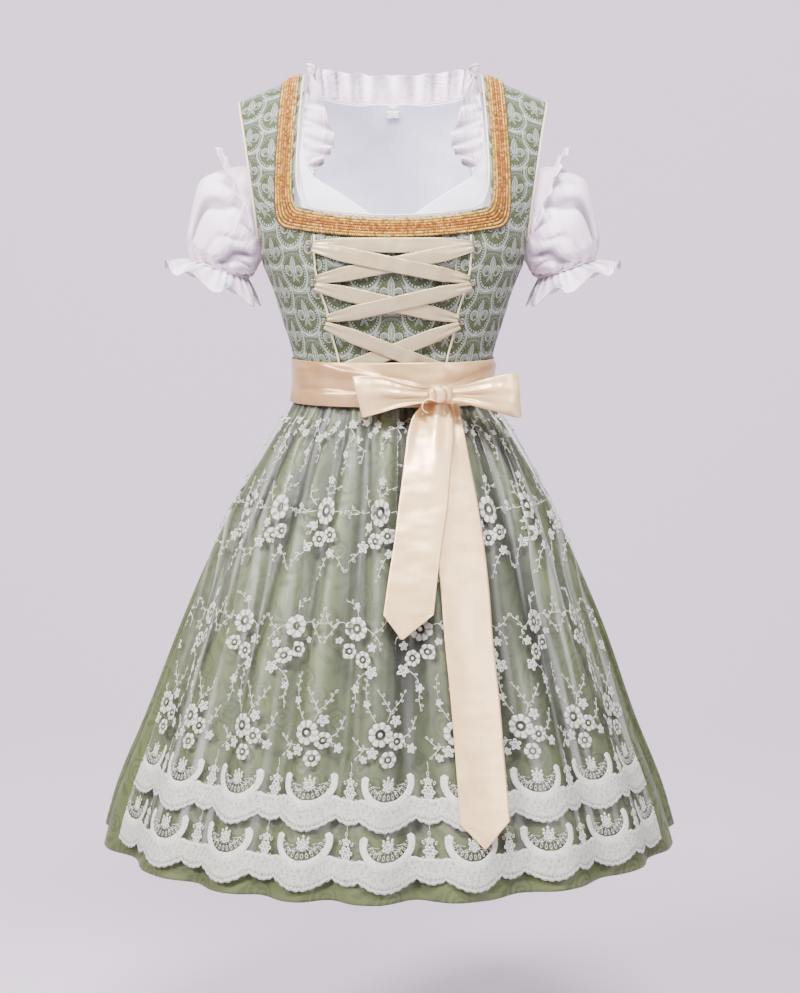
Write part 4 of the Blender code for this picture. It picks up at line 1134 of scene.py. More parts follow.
def makeHookPattern():
    # a round filigree hook about the origin, facing +Z
    made = hookSettings
    radius, rim, parts = made["radius"], made["rim"], []

    cylinder, torus, ball = [bpy.ops.mesh.primitive_cylinder_add, bpy.ops.mesh.primitive_torus_add,
                             bpy.ops.mesh.primitive_uv_sphere_add]

    def add(shape, z, reach=0.0, turn=0.0, **how):
        shape(location=(reach * math.cos(turn), reach * math.sin(turn), z), **how)
        parts.append(bpy.context.active_object)

    deselectAll()
    (inset, thick), (lip, deep) = made["plate"], made["dish"]
    add(cylinder, thick / 2, vertices=36, radius=radius - inset, depth=thick)
    plate = parts[0]
    bpy.ops.object.mode_set(mode="EDIT")
    build = bmesh.from_edit_mesh(plate.data)
    for face in build.faces:
        face.select_set(face.normal.z > 0.9)
    bmesh.update_edit_mesh(plate.data)
    bpy.ops.mesh.inset(thickness=lip)
    bpy.ops.mesh.extrude_region_move(TRANSFORM_OT_translate={"value": (0, 0, -deep)})
    bpy.ops.object.mode_set(mode="OBJECT")
    add(torus, 0.0011, major_radius=radius - rim, minor_radius=rim, major_segments=36, minor_segments=8)
    for a in turns(made["loops"]):
        add(torus, 0.0013, made["loopReach"], a, major_radius=made["loop"][0], minor_radius=made["loop"][1],
            major_segments=14, minor_segments=6)
    for k in range(made["beads"]):
        add(ball, 0.0015, radius - 0.0012 if k % 2 else radius - rim,
            2 * math.pi * (k + 0.5) / made["beads"], segments=8, ring_count=6, radius=made["bead"])
    add(ball, 0.0013, segments=14, ring_count=8, radius=made["boss"])
    pattern = joinPieces("hookPattern", parts)
    pattern.data.materials.clear()
    pattern.data.materials.append(silver)
    pattern.data.shade_smooth()
    return pattern


def makeHooks():
    pattern = makeHookPattern()
    for i, level in enumerate(levels):
        x, z = lacingSettings["hooks"][i]
        for side, sign in (("Right", 1), ("Left", -1)):
            centre, beside, above = [torsoPoint(sign * x + right, z + up, -1, 0.0006)
                                     for right, up in ((0.0, 0.0), (0.002, 0.0), (0.0, 0.002))]
            beside, above = (beside - centre).normalized(), above - centre
            normal = beside.cross(above).normalized()
            over = normal.cross(beside)
            turn = Matrix((beside, over, normal)).transposed().to_4x4()
            mesh = pattern.data.copy()
            mesh.transform(Matrix.Translation(centre) @ turn @ Matrix.Rotation(0.4 * i + sign * 0.3, 4, "Z"))
            piece = linkPiece("hook" + level.title() + side, mesh)
            putPiece(piece, "hook_%s_%s" % (level, side.lower()), "silver")
    bpy.data.objects.remove(pattern)


# skirt
skirtSettings = {
    "columns": 210, "rows": 54, "depth": 1.9, "top": -0.3848, "hem": -0.977, "hemWide": 0.026, "seam": 0.14,
    "gathers": 0.0011, "slack": 0.0035, "stitch": 0.0009,
}


def skirtWave(angle, z):
    # rounded crests and narrower valleys, with fine gathers under the sash
    phase = pleatPhase(angle)
    wave = math.cos(phase)
    low = smoothStep(-0.42, -0.62, z)
    sharp = 1 - 2 * ((1 - wave) / 2) ** (1.0 + 0.55 * low)
    second = 0.16 * low * math.sin(1.7 * phase + 1.3 + 2.0 * z)
    deeper = (skirtSettings["depth"] - 1) * smoothStep(-0.395, -0.46, z) * smoothStep(-0.97, -0.75, z)
    return 1 - (1 + deeper) * (1 - (sharp + second * 0.5 - abs(second) * 0.3))


def skirtPaintedShade(angle, z):
    # painted shade: deep in the folds near the waist, fading as they open out towards the hem, and in broad
    # patches
    phase = pleatPhase(angle)
    valley = ((1 - math.cos(phase)) / 2) ** 1.5
    upper = smoothStep(-0.90, -0.50, z)
    broad = max(0.0, ruffled((angle * 0.045, z * 2.0), 1.0, 21.0) + 0.05)
    hem = smoothStep(-0.97, -0.8, z)
    return min(1.0, valley * (0.25 + 0.6 * upper) + broad * (0.5 + 0.7 * upper) * hem)


def skirtLift(angle, z):
    # fine gathers under the sash, slack cloth further down and the hem's stitched line
    made, a = skirtSettings, math.radians(angle)
    gather = smoothStep(-0.385, -0.40, z) * smoothStep(-0.56, -0.42, z)
    fine = made["gathers"] * gather * (math.cos(66 * a + 2.5 * math.sin(5 * a)) - 1)
    slack = made["slack"] * smoothStep(-0.45, -0.8, z) * (ruffled((angle * 0.09, z * 5.0), 1.0, 3.0) - 0.35)
    stitch = made["stitch"] * math.exp(-((z - made["hem"] - made["hemWide"]) / 0.0016) ** 2)
    return fine + slack - stitch


def skirtAxis(point):
    return Vector((0.0, 0.0, point.z + 0.1))


def makeSkirt():
    made = skirtSettings
    hem, seam = made["hem"], made["seam"]
    heights = spread(made["top"], hem + 0.036, made["rows"]) + spread(hem + 0.034, hem, 11)
    for name, start in (("Front", -90.0), ("Back", 90.0)):
        angles = [a if a <= 180 else a - 360
                  for a in spread(start + seam, start + 180 - seam, made["columns"])]
        rows, hollows = clothGrid(heights, angles, lambda z, a: (
            skirtPoint(a, z, skirtLift(a, z), skirtWave(a, z)), skirtPaintedShade(a, z)))
        piece = clothPiece("skirt" + name, rows, jacquard, bodySettings["cloth"], slot="jacquard",
                           node="skirt_" + name.lower(), behind=skirtAxis, hollows=hollows)


# sash and bow
sashSettings = {
    "columns": 260, "wall": 0.0008, "low": -0.411, "high": -0.356,
    # folds from (x, z) to (x, z): height, width
    "folds": (((-0.100, -0.3560), (0.046, -0.3890), 0.0027, 0.0085),
              ((0.150, -0.3560), (0.072, -0.3890), 0.0024, 0.0075),
              ((-0.120, -0.3930), (0.030, -0.3985), 0.0016, 0.0085),
              ((-0.125, -0.3720), (-0.030, -0.3800), 0.0012, 0.0070)),
}


def foldHeight(x, z):
    # overlapping folds: a step on one side of each line, a slow fall on the other; and the shade they cast
    total, shade = 0.0, 0.0
    for (x0, z0), (x1, z1), high, wide in sashSettings["folds"]:
        length = math.hypot(x1 - x0, z1 - z0)
        ux, uz = (x1 - x0) / length, (z1 - z0) / length
        along = (x - x0) * ux + (z - z0) * uz
        off = (x - x0) * uz - (z - z0) * ux
        if ux < 0:
            off = -off
        ends = smoothStep(-0.012, 0.02, along) * smoothStep(length + 0.012, length - 0.01, along)
        total += high * ends * math.exp(-(off / (wide if off > 0 else wide * 0.3)) ** 2)
        under = math.exp(-(off / (wide * 0.8)) ** 2) * smoothStep(0.0006, -0.0006, off)
        shade += ends * high / 0.0024 * under
    return total, min(1.0, shade * 0.8)


def sashPoint(angle, z, lift=0.0):
    if -90.0 <= angle <= 90.0:
        return lowPoint(angle, z, -1, lift, form=sashForm)
    return lowPoint(180.0 - angle, z, 1, lift, form=sashForm)


def makeSash():
    made = sashSettings

    def place(z, angle):
        point = sashPoint(angle, z)
        soft = ruffled((angle * 0.03, z * 45), 1.0, 5.0)
        high, deep = foldHeight(point.x, z) if point.y < 0 else (0.0, 0.0)
        # painted shade: under the folds, over the whole band, more towards its left (negative x) side, and in
        # soft patches
        deep += 0.38 + 0.42 * smoothStep(0.0, -0.06, point.x) + 0.25 * soft
        return sashPoint(angle, z, 0.0016 * soft + high), min(1.0, deep)

    angles = [-90.0 + 360.0 * i / made["columns"] for i in range(made["columns"])]
    rows, hollows = clothGrid(spread(made["low"], made["high"], 30), angles, place)
    piece = clothPiece("sashBand", rows, peachSatin, made["wall"], node="sash_band", slot="satin",
                       behind=skirtAxis, closed=True, hollows=hollows)


leftLoop = makeForm("step topX topZ lowX lowZ y", [
    (0, 0.0430, -0.3845, 0.0430, -0.4035, -0.1290), (1, 0.0300, -0.3835, 0.0290, -0.4045, -0.1335),
    (2, 0.0080, -0.3780, 0.0080, -0.4085, -0.1375), (3, -0.0140, -0.3712, -0.0100, -0.4140, -0.1365),
    (4, -0.0360, -0.3702, -0.0270, -0.4195, -0.1320), (5, -0.0470, -0.3712, -0.0355, -0.4222, -0.1270),
    (6, -0.0492, -0.3720, -0.0372, -0.4222, -0.1225), (7, -0.0440, -0.3730, -0.0320, -0.4200, -0.1185),
    (8, -0.0200, -0.3750, -0.0130, -0.4130, -0.1180), (9, 0.0060, -0.3790, 0.0080, -0.4070, -0.1200),
    (10, 0.0280, -0.3840, 0.0280, -0.4035, -0.1215), (11, 0.0430, -0.3850, 0.0430, -0.4030, -0.1220)])
rightLoop = makeForm("step topX topZ lowX lowZ y", [
    (0, 0.0735, -0.3840, 0.0735, -0.4020, -0.1280), (1, 0.0860, -0.3820, 0.0860, -0.4030, -0.1320),
    (2, 0.1050, -0.3765, 0.1040, -0.4085, -0.1335), (3, 0.1240, -0.3715, 0.1240, -0.4140, -0.1310),
    (4, 0.1430, -0.3680, 0.1450, -0.4205, -0.1260), (5, 0.1520, -0.3685, 0.1560, -0.4228, -0.1205),
    (6, 0.1545, -0.3700, 0.1590, -0.4200, -0.1155), (7, 0.1490, -0.3710, 0.1540, -0.4150, -0.1110),
    (8, 0.1280, -0.3750, 0.1310, -0.4100, -0.1095), (9, 0.1060, -0.3790, 0.1070, -0.4060, -0.1120),
    (10, 0.0870, -0.3830, 0.0870, -0.4025, -0.1170), (11, 0.0735, -0.3850, 0.0735, -0.4010, -0.1195)])
shortTail = makeForm("z left right", [
    (-0.6480, -0.0105, 0.0473), (-0.6100, -0.0052, 0.0515), (-0.5696, 0.0012, 0.0567),
    (-0.5259, 0.0068, 0.0635), (-0.4949, 0.0107, 0.0660), (-0.4640, 0.0145, 0.0690),
    (-0.4380, 0.0182, 0.0704), (-0.4180, 0.0250, 0.0680), (-0.4065, 0.0340, 0.0630)])
longTail = makeForm("z left right", [
    (-0.8860, 0.0790, 0.1376), (-0.8260, 0.0748, 0.1326), (-0.7345, 0.0672, 0.1250),
    (-0.6781, 0.0615, 0.1188), (-0.6318, 0.0580, 0.1157), (-0.5790, 0.0530, 0.1102),
    (-0.5263, 0.0465, 0.1024), (-0.4732, 0.0400, 0.0921), (-0.4360, 0.0420, 0.0850),
    (-0.4065, 0.0520, 0.0790)])
bowSettings = {
    "shortTip": (0.0110, -0.6770), "longTip": (0.1085, -0.9157), "shortLift": 0.0105, "longLift": 0.0040,
    "loopBelly": 0.0042, "loopWander": 0.0058, "loopGathers": 0.0036, "tailFold": 0.0022, "tailPinch": 0.0026,
    "knotCentre": (0.0582, -0.1243, -0.3935), "knotSize": (0.0285, 0.0195, 0.0215),
    "curl": {"centre": (0.0450, -0.1235, -0.4080), "radius": 0.0088, "deep": 0.011},
}


def makeLoop(side, form, seed):
    # a loop runs out along its front and back along its rear, gathered at both ends in the knot
    made, steps = bowSettings, form["keys"][-1]

    def place(s, u):
        top, low = [Vector([readForm(form, column, s) for column in (edge + "X", "y", edge + "Z")])
                    for edge in ("top", "low")]
        puff = max(0.0, math.sin(math.pi * s / steps))
        gather = math.exp(-(min(s, steps - s) / 3.0) ** 2)
        face = 1.0 if s < steps / 2 else -1.0
        radial = math.cos(2 * math.pi * (1.75 * u + 0.04 * s) + seed)
        radial += 0.5 * math.cos(2 * math.pi * 3.6 * u + 2 * seed)
        belly = puff * math.sin(math.pi * u) * smoothStep(5.4, 3.4, abs(s - steps / 2) + 2.0)
        wander = made["loopWander"] * puff ** 0.6 * ruffled((u * 1.7 - s * 0.3, s * 0.3), 1.0, seed)
        point = top.lerp(low, u)
        point.y -= made["loopBelly"] * face * belly + wander
        point.y -= made["loopGathers"] * gather * radial * (0.35 + 0.65 * puff)
        # painted shade: on the loop's rear half, in the gathers' valleys near the knot, and where the cloth
        # sinks back
        inside = 0.75 if s > 6.2 else 0.0
        return point, clamped(inside + gather * (0.25 - 0.75 * radial) - wander * 110)

    rows, hollows = clothGrid(spread(0.0, steps, 150), spread(0.0, 1.0, 34), place)
    piece = clothPiece("bowLoop" + side, rows, peachSatin, sashSettings["wall"], offset=0.0,
                       node="bow_loop_" + side.lower(), slot="satin", hollows=hollows)


def makeKnot():
    # a band wrapped slantwise over the bow, drawn in with curved folds
    centre, size = [Vector(bowSettings[key]) for key in ("knotCentre", "knotSize")]

    def place(lat, a):
        ring = max(0.02, math.cos(lat)) ** 0.45
        across, out = signedPower(math.cos(a), 0.72) * ring, signedPower(math.sin(a), 0.72) * ring
        up = signedPower(math.sin(lat), 0.75)
        phase = 6.5 * across + 2.4 * up * up + 1.1 * up
        fold = math.cos(phase) + 0.4 * math.cos(2.1 * phase + 1.0)
        raised = 1 + 0.12 * fold * abs(out) + 0.03 * ruffled((across, up), 2.0, 7.0)
        share = Vector((across * (1 + 0.02 * fold), out * raised, up * (1 - 0.12 * abs(across) ** 2)))
        # painted shade in the folds' valleys and on the knot's underside
        return centre + share * size / 2, clamped(-0.05 - fold) + 0.4 * smoothStep(-0.6, -1.0, up)

    rows, hollows = clothGrid(spread(-math.pi / 2, math.pi / 2, 48), turns(96), place)
    mesh = tidyMesh(gridMesh("bowKnot", rows, closed=True, hollows=hollows), fill=True)
    putPiece(linkPiece("bowKnot", mesh, peachSatin), "bow_knot", "satin")


def makeCurl():
    # the rolled edge of the short tail where it leaves the knot
    made = bowSettings["curl"]

    def place(depth, turn):
        a = 2 * math.pi * turn
        reach = made["radius"] * (1.0 - 0.30 * turn) * (1.0 + 0.35 * (1 - depth))
        way = Vector((-reach * 1.05 * math.sin(a), -made["deep"] * depth - 0.002 * turn,
                      reach * math.cos(a) * 0.95))
        # painted shade, deeper towards the back of the roll
        return Vector(made["centre"]) + way, clamped(0.9 * (1 - depth) + 0.5 * smoothStep(0.5, 1.3, turn))

    rows, hollows = clothGrid(spread(0.0, 1.0, 12), spread(-0.12, 0.46, 30), place)
    return clothPiece("bowCurl", rows, peachSatin, sashSettings["wall"], offset=0.0, slot="satin",
                      hollows=hollows)


def skirtAngleAt(x, z):
    low, high = -89.0, 89.0
    for _ in range(18):
        middle = (low + high) / 2
        if apronPoint(middle, z, wave=1.0).x < x:
            low = middle
        else:
            high = middle
    return (low + high) / 2


def tailPoint(x, z, lift):
    point = apronPoint(skirtAngleAt(x, z), z, lift, wave=1.0)
    low = sashSettings["low"]
    if z > low - 0.012:                      # in front of the sash, too
        point.y = min(point.y, lowPoint(sideAngle(x, low, sashForm), low, -1, lift, form=sashForm).y)
    return point


def makeTail(name, form, tip, lift, seed, loose=()):
    low, high = form["keys"][0], form["keys"][-1]
    left, right = form["left"][0][0], form["right"][0][0]
    middle = (tip[0] - left) / (right - left)

    def place(share, u):
        reach = u / middle if u < middle else (1 - u) / (1 - middle)
        if share <= 1.0:
            z = high + (low - high) * share
            x = readForm(form, "left", z) * (1 - u) + readForm(form, "right", z) * u
        else:                                # the point below both long edges
            z = low - (low - tip[1]) * max(0.004, reach) * (share - 1.0) * 2
            x = left * (1 - u) + right * u
        gather = smoothStep(-0.50, -0.41, z)
        pinch = math.cos(u * 8.5 + seed + 9 * (z + 0.41)) + 0.35 * math.cos(u * 19 + seed)
        soft = (1 - 0.6 * gather) * ruffled((u * 1.2 + seed, z * 6.0), 1.0, seed)
        point = tailPoint(x, z, lift)
        point.y -= bowSettings["tailFold"] * clamped((z + 0.47) / 0.06) * math.cos(4 * math.pi * u)
        point.y -= bowSettings["tailPinch"] * (gather * pinch + soft)
        # painted shade in the pinched folds near the knot and across the top, under the knot
        return point, clamped(gather * (0.1 - 0.55 * pinch) + 0.5 * smoothStep(-0.425, -0.41, z))

    shares = [s ** 1.35 for s in spread(0.0, 1.0, 84)] + spread(1.05, 1.5, 11)
    rows, hollows = clothGrid(shares, spread(0.0, 1.0, 29), place)
    piece = clothPiece("sashTail" + name, rows, tailSatin, sashSettings["wall"], slot="satin",
                       node="sash_tail_" + name.lower(), behind=skirtAxis, hollows=hollows)
    stitches = makeTipStitches("sashTail" + name, rows)
    round(high - tip[1] + 0.02, 3)


def makeTipStitches(name, rows):
    # the turned and stitched edges of a tail's point, a row of small stitches
    verts, faces, line = [], [], []
    for tip, above in list(zip(rows[-1], rows[-12]))[2:-2]:
        inward = (above - tip).normalized() if (above - tip).length > 1e-5 else Vector((0, 0, 1))
        line.append(tip + Vector((0, -0.0003, 0.0055)) + inward * 0.001)
    fine = smoothLine(line, 110)
    for a, b in list(zip(fine, fine[1:]))[::2]:
        side = Vector((0, -1, 0)).cross((b - a).normalized()).normalized() * 0.0002
        out, start = Vector((0, -0.00025, 0)), len(verts)
        corners = [a - side, a + side, b + side, b - side]
        verts += corners + [corner + out for corner in corners]
        faces += [tuple(start + n for n in face) for face in (
            (0, 1, 2, 3), (7, 6, 5, 4), (0, 4, 5, 1), (1, 5, 6, 2), (2, 6, 7, 3), (3, 7, 4, 0))]
    return stitchPiece(name + "Stitches", verts, faces, peachSatin, "satin", smooth=False)


def makeBow():
    made = bowSettings
    makeLoop("Left", leftLoop, 1.0)
    makeLoop("Right", rightLoop, 2.4)
    makeKnot()
    makeTail("Short", shortTail, made["shortTip"], made["shortLift"], 0.7, [makeCurl()])
    makeTail("Long", longTail, made["longTip"], made["longLift"], 3.1)


# blouse
neckBase = makeForm("station x y z outX outY outZ", [
    (0, 0.0955, -0.0985, -0.1270, -0.004, -0.004, 0.007),
    (1, 0.1070, -0.0930, -0.1050, -0.028, -0.012, 0.003),
    (2, 0.1110, -0.0770, -0.0740, -0.040, -0.014, -0.012),
    (3, 0.1090, -0.0500, -0.0420, -0.026, -0.022, -0.006),
    (4, 0.1050, -0.0010, -0.0120, -0.004, -0.006, 0.022), (5, 0.0970, 0.0290, -0.0200, 0.006, 0.003, 0.030),
    (6, 0.0790, 0.0425, -0.0270, 0.004, 0.007, 0.037), (7, 0.0450, 0.0495, -0.0320, 0.001, 0.008, 0.038),
    (8, 0.0000, 0.0515, -0.0340, 0.000, 0.008, 0.038)])
sleeveForm = makeForm("step x y z topX topZ depth draw", [
    (0, 0.1715, -0.0060, -0.1690, 0.0085, 0.0570, 0.0420, 0.000),
    (1, 0.1900, -0.0060, -0.1775, 0.0180, 0.0610, 0.0460, 0.010),
    (2, 0.2040, -0.0040, -0.1845, 0.0295, 0.0610, 0.0570, 0.006),
    (3, 0.2132, -0.0020, -0.1957, 0.0352, 0.0543, 0.0620, 0.000),
    (4, 0.2212, 0.0000, -0.2212, 0.0388, 0.0313, 0.0600, 0.000),
    (5, 0.2235, 0.0000, -0.2328, 0.0385, 0.0202, 0.0520, 0.000),
    (6, 0.2217, 0.0000, -0.2414, 0.0347, 0.0118, 0.0410, 0.000)])
cuffForm = makeForm("step x y z topX topZ depth draw", [
    (0, 0.2217, 0.0000, -0.2424, 0.0347, 0.0118, 0.0410, 0.000),
    (1, 0.2265, 0.0000, -0.2510, 0.0480, 0.0190, 0.0560, 0.000),
    (2, 0.2325, 0.0000, -0.2610, 0.0590, 0.0240, 0.0650, 0.000)])
blouseSettings = {
    "inset": 0.0035, "hem": -0.300, "wall": 0.0010, "frillWall": 0.0008, "ruffleWall": 0.0007,
    "elastic": 0.0011, "neckWaves": 22, "neckSwing": 0.0056, "frontEase": 0.0016, "backEase": 0.0006,
    "headGathers": 0.0014, "cuffGathers": (0.0021, 0.0011), "puffFolds": 0.0048,
    "cuffWaves": 7, "cuffSwing": 0.0075, "cuffAxis": (-0.30, 0.0, -0.954),
    "headWaves": 8, "headHalf": 104.0, "headHigh": 0.025, "headSwing": 0.0036,
}


def ringPoint(form, step, angle, swell=0.0):
    a = math.radians(angle)
    upper = Vector((readForm(form, "topX", step), 0.0, readForm(form, "topZ", step)))
    centre = Vector([readForm(form, axis, step) for axis in "xyz"])
    centre.x -= readForm(form, "draw", step) * math.sin(a) ** 2
    front = Vector((0.0, -readForm(form, "depth", step), 0.0))
    return centre + (upper * math.cos(a) + front * math.sin(a)) * (1.0 + swell / max(0.02, upper.length))


def valley(phase, width):
    # a rounded swell with a narrow valley once a turn
    near = (phase / (2 * math.pi)) % 1.0 - 0.5
    return 0.45 - 1.45 * math.exp(-(near / width) ** 2)


def sleeveSwell(step, angle):
    # gathers at both ends and long folds that run down and outwards across the puff
    a = math.radians(angle)
    head = max(0.0, 1.0 - abs(step - 1.0)) * 0.8
    cuff = max(0.0, (step - 3.4) / 2.6)
    made = blouseSettings
    wide, small = made["cuffGathers"]
    fine = made["headGathers"] * head * math.cos(14 * a + 0.5) + cuff * (
        wide * math.cos(12 * a + 0.8 * math.sin(2 * a)) + small * math.cos(29 * a))
    body = smoothStep(0.9, 2.4, step) * smoothStep(6.0, 4.4, step)
    phase = 6.0 * a + 1.25 * step + 0.8 * math.sin(2 * a + 0.5)
    long = valley(phase, 0.13) + 0.5 * valley(9.0 * a + 1.9 * step + 1.4 + math.sin(2 * step), 0.11)
    front = 0.55 + 0.45 * math.sin(a)
    soft = 0.0014 * ruffled((angle * 0.03, step), 1.0, 9.0)
    return fine + body * (made["puffFolds"] * front * long - 0.0012 + soft)


def makeSleeves():
    made = blouseSettings
    half, outward = made["headHalf"], Vector(made["cuffAxis"])

    def puffPlace(step, angle):
        swell = sleeveSwell(step, angle)
        # painted shade in the valleys where the cloth sinks in
        return ringPoint(sleeveForm, step, angle, swell), clamped((-0.0006 - swell) / 0.0038)

    def frillPlace(step, a):
        reach = (step / 2.0) ** 1.2
        wave = math.cos(made["cuffWaves"] * a + 0.8) * reach
        small = math.cos(24 * a + 1.6 * math.sin(3 * a)) * (1 - 0.75 * reach)
        point = ringPoint(cuffForm, step, math.degrees(a), 0.003 * wave + 0.0013 * small)
        # painted shade in the frill's folds and fine gathers, with a little over all of it
        return point + outward * (made["cuffSwing"] * wave), clamped(0.35 - 0.45 * wave - 0.35 * small)

    def headPlace(reach, angle):
        front = math.sin(math.radians(angle))
        phase = math.pi * made["headWaves"] * (angle / half + 1)
        wave = math.cos(phase) * reach + 0.35 * math.cos(2.7 * phase + 1.0) * (1 - 0.5 * reach)
        out = Vector((0.38, -0.50 * front, 0.88)).normalized() * (1 + 0.08 * math.cos(phase * 1.5))
        swing = Vector((0.8, -0.6 * front, -0.3)) * (made["headSwing"] * wave)
        return ringPoint(sleeveForm, 1.1, angle, 0.0042) + out * (made["headHigh"] * reach) + swing, 0.0

    puff, puffPaintedShade = clothGrid(spread(0.0, 6.0, 48), [360.0 * i / 156 for i in range(156)], puffPlace)
    frill, frillPaintedShade = clothGrid(spread(0.0, 2.0, 14), turns(216), frillPlace)
    head, _ = clothGrid(spread(0.0, 1.0, 12), spread(-half, half, 150), headPlace)
    band = [ringPoint(sleeveForm, 6.0, a, 0.0022) for a in spread(0.0, 355.0, 72)]
    for side, turn, sign in (("Right", sameGrid, 1), ("Left", mirrorGrid, -1)):
        low, how = side.lower(), {"slot": "cotton", "material": whiteCotton}

        def axis(point, across=sign * 0.2):
            return Vector((across, 0.0, min(-0.16, point.z)))

        sleeve = clothPiece("sleeve" + side, turn(puff), wall=made["wall"], node="sleeve_" + low, closed=True,
                            hollows=puffPaintedShade, behind=axis, **how)
        cuff = clothPiece("cuffFrill" + side, turn(frill), wall=made["frillWall"], node="cuff_frill_" + low,
                          closed=True, hollows=frillPaintedShade, **how)
        top = clothPiece("sleeveHeadFrill" + side, turn(head), wall=made["frillWall"], offset=0.0,
                         node="sleeve_head_frill_" + low, **how)
        cordPiece("cuffElastic" + side, turn([band])[0], made["elastic"], whiteCotton, None, "cotton")


def refined(rows, down, across):
    # the same surface through the same points, with more rows and columns
    wide = [smoothLine(row, across) for row in rows]
    columns = [smoothLine([row[c] for row in wide], down) for c in range(across)]
    return [[column[r] for column in columns] for r in range(down)]


blouseEdges = {                              # inner (x, z), angles round the armhole, stations of the neck
    -1: (((0.0015, -0.235), (0.0015, -0.1910), (0.0330, -0.1690), (0.0640, -0.1475)),
         (180.0, 160.0, 140.0, 118.0, 98.0, 76.0, 54.0, 30.0, 2.0), (0, 1, 2, 3, 4)),
    1: (((0.0, -0.235), (0.0, -0.180), (0.0, -0.125), (0.0, -0.078)),
        (180.0, 158.0, 134.0, 110.0, 86.0, 64.0, 44.0, 24.0, 2.0), (8, 7, 6, 5, 4)),
}


def neckVector(station, columns="x y z"):
    return Vector([readForm(neckBase, column, station) for column in columns.split()])


def blouseRows(side):
    # half of the front or back, coarse: from the hem up to the neck and the armhole
    inset, columns, shoulder = -blouseSettings["inset"], 7, 0.0016
    inner, outer, stations = blouseEdges[side]
    rows = [[lowPoint(a, z, side, inset) for a in spread(sideAngle(inner[0][0], z), 90.0, columns)]
            for z in (blouseSettings["hem"], -0.272)]
    starts = [torsoPoint(x, z, side, inset) for x, z in inner]
    for station in stations:
        base = neckVector(station) - Vector((0.0, 0.0, 0.0016))
        if station == 4:
            base.y = side * shoulder
        starts.append(base)
    for start, angle in zip(starts, outer):
        end = ringPoint(sleeveForm, 0.0, angle)
        end.x -= 0.0022
        end.y = side * max(abs(end.y) - 0.001, shoulder)
        if angle == 180.0:
            end = lowPoint(90.0, -0.2365, side, inset)
            end.y += side * bodySettings["seam"]
        row = []
        first = start.y - torsoPoint(start.x, start.z, side, inset).y
        last = end.y - torsoPoint(end.x, end.z, side, inset).y
        for u in spread(0.0, 1.0, columns):
            point = start.lerp(end, u)
            form = torsoPoint(point.x, point.z, side, inset)
            bent = form.y + first * (1 - u) + last * u
            point.y = side * min(abs(bent), abs(form.y)) if abs(form.y) > 0.004 else bent
            row.append(point)
        rows.append(row)
    return rows


def makeBlouse():
    front, back = refined(blouseRows(-1), 64, 36), refined(blouseRows(1), 76, 40)
    for row in front:
        for point in row:
            soft = ruffled((point.x * 26, point.z * 16 + point.x * 12), 1.0, 2.0)
            point.y += blouseSettings["frontEase"] * max(0.0, soft)
    for row in back:
        for point in row:
            soft = ruffled((point.x * 22 + point.z * 9, point.z * 18), 1.0, 6.0)
            point.y -= blouseSettings["backEase"] * max(0.0, soft) * smoothStep(0.0, 0.02, abs(point.x))
    wall = blouseSettings["wall"]
    for side, turn in (("right", sameGrid), ("left", mirrorGrid)):
        piece = clothPiece("blouseFront" + side.title(), turn(front), smoothCotton, wall,
                           node="blouse_front_" + side, slot="cotton", behind=bodyAxis)
    halves = [linkPiece("half", gridMesh("half", turned, behind=bodyAxis), smoothCotton)
              for turned in (back, mirrorGrid(back))]
    piece = joinPieces("blouseBack", halves)
    build = bmesh.new()
    build.from_mesh(piece.data)
    bmesh.ops.remove_doubles(build, verts=[v for v in build.verts if abs(v.co.x) < 0.0002], dist=0.0001)
    build.to_mesh(piece.data)
    build.free()
    thicken(piece, wall)
    putPiece(piece, "blouse_back", "cotton")
    makeLabel(back)
    makeSleeves()
    makeNeckRuffle()


labelSettings = {"top": -0.0420, "low": -0.0510, "half": 0.008, "off": 0.0031, "flatter": 0.6, "wall": 0.0006}


def makeLabel(back):
    made, rows = labelSettings, []
    for z in spread(made["top"], made["low"], 7):
        row = []
        for x in spread(-made["half"], made["half"], 13):
            near = min((p for line in back for p in line[:12]),
                       key=lambda p: (p.x - abs(x)) ** 2 + (p.z - z) ** 2)
            row.append(Vector((x, near.y - made["off"], z)))
        rows.append(row)
    points = [point for row in rows for point in row]
    middle = sum(point.y for point in points) / len(points)
    for point in points:                     # flatter than the cloth behind it
        point.y = middle + (point.y - middle) * made["flatter"]
    clothPiece("sizeLabel", rows, labelCloth, made["wall"], node="size_label", slot="label",
               behind=lambda p: p + Vector((0, 0.1, 0)))


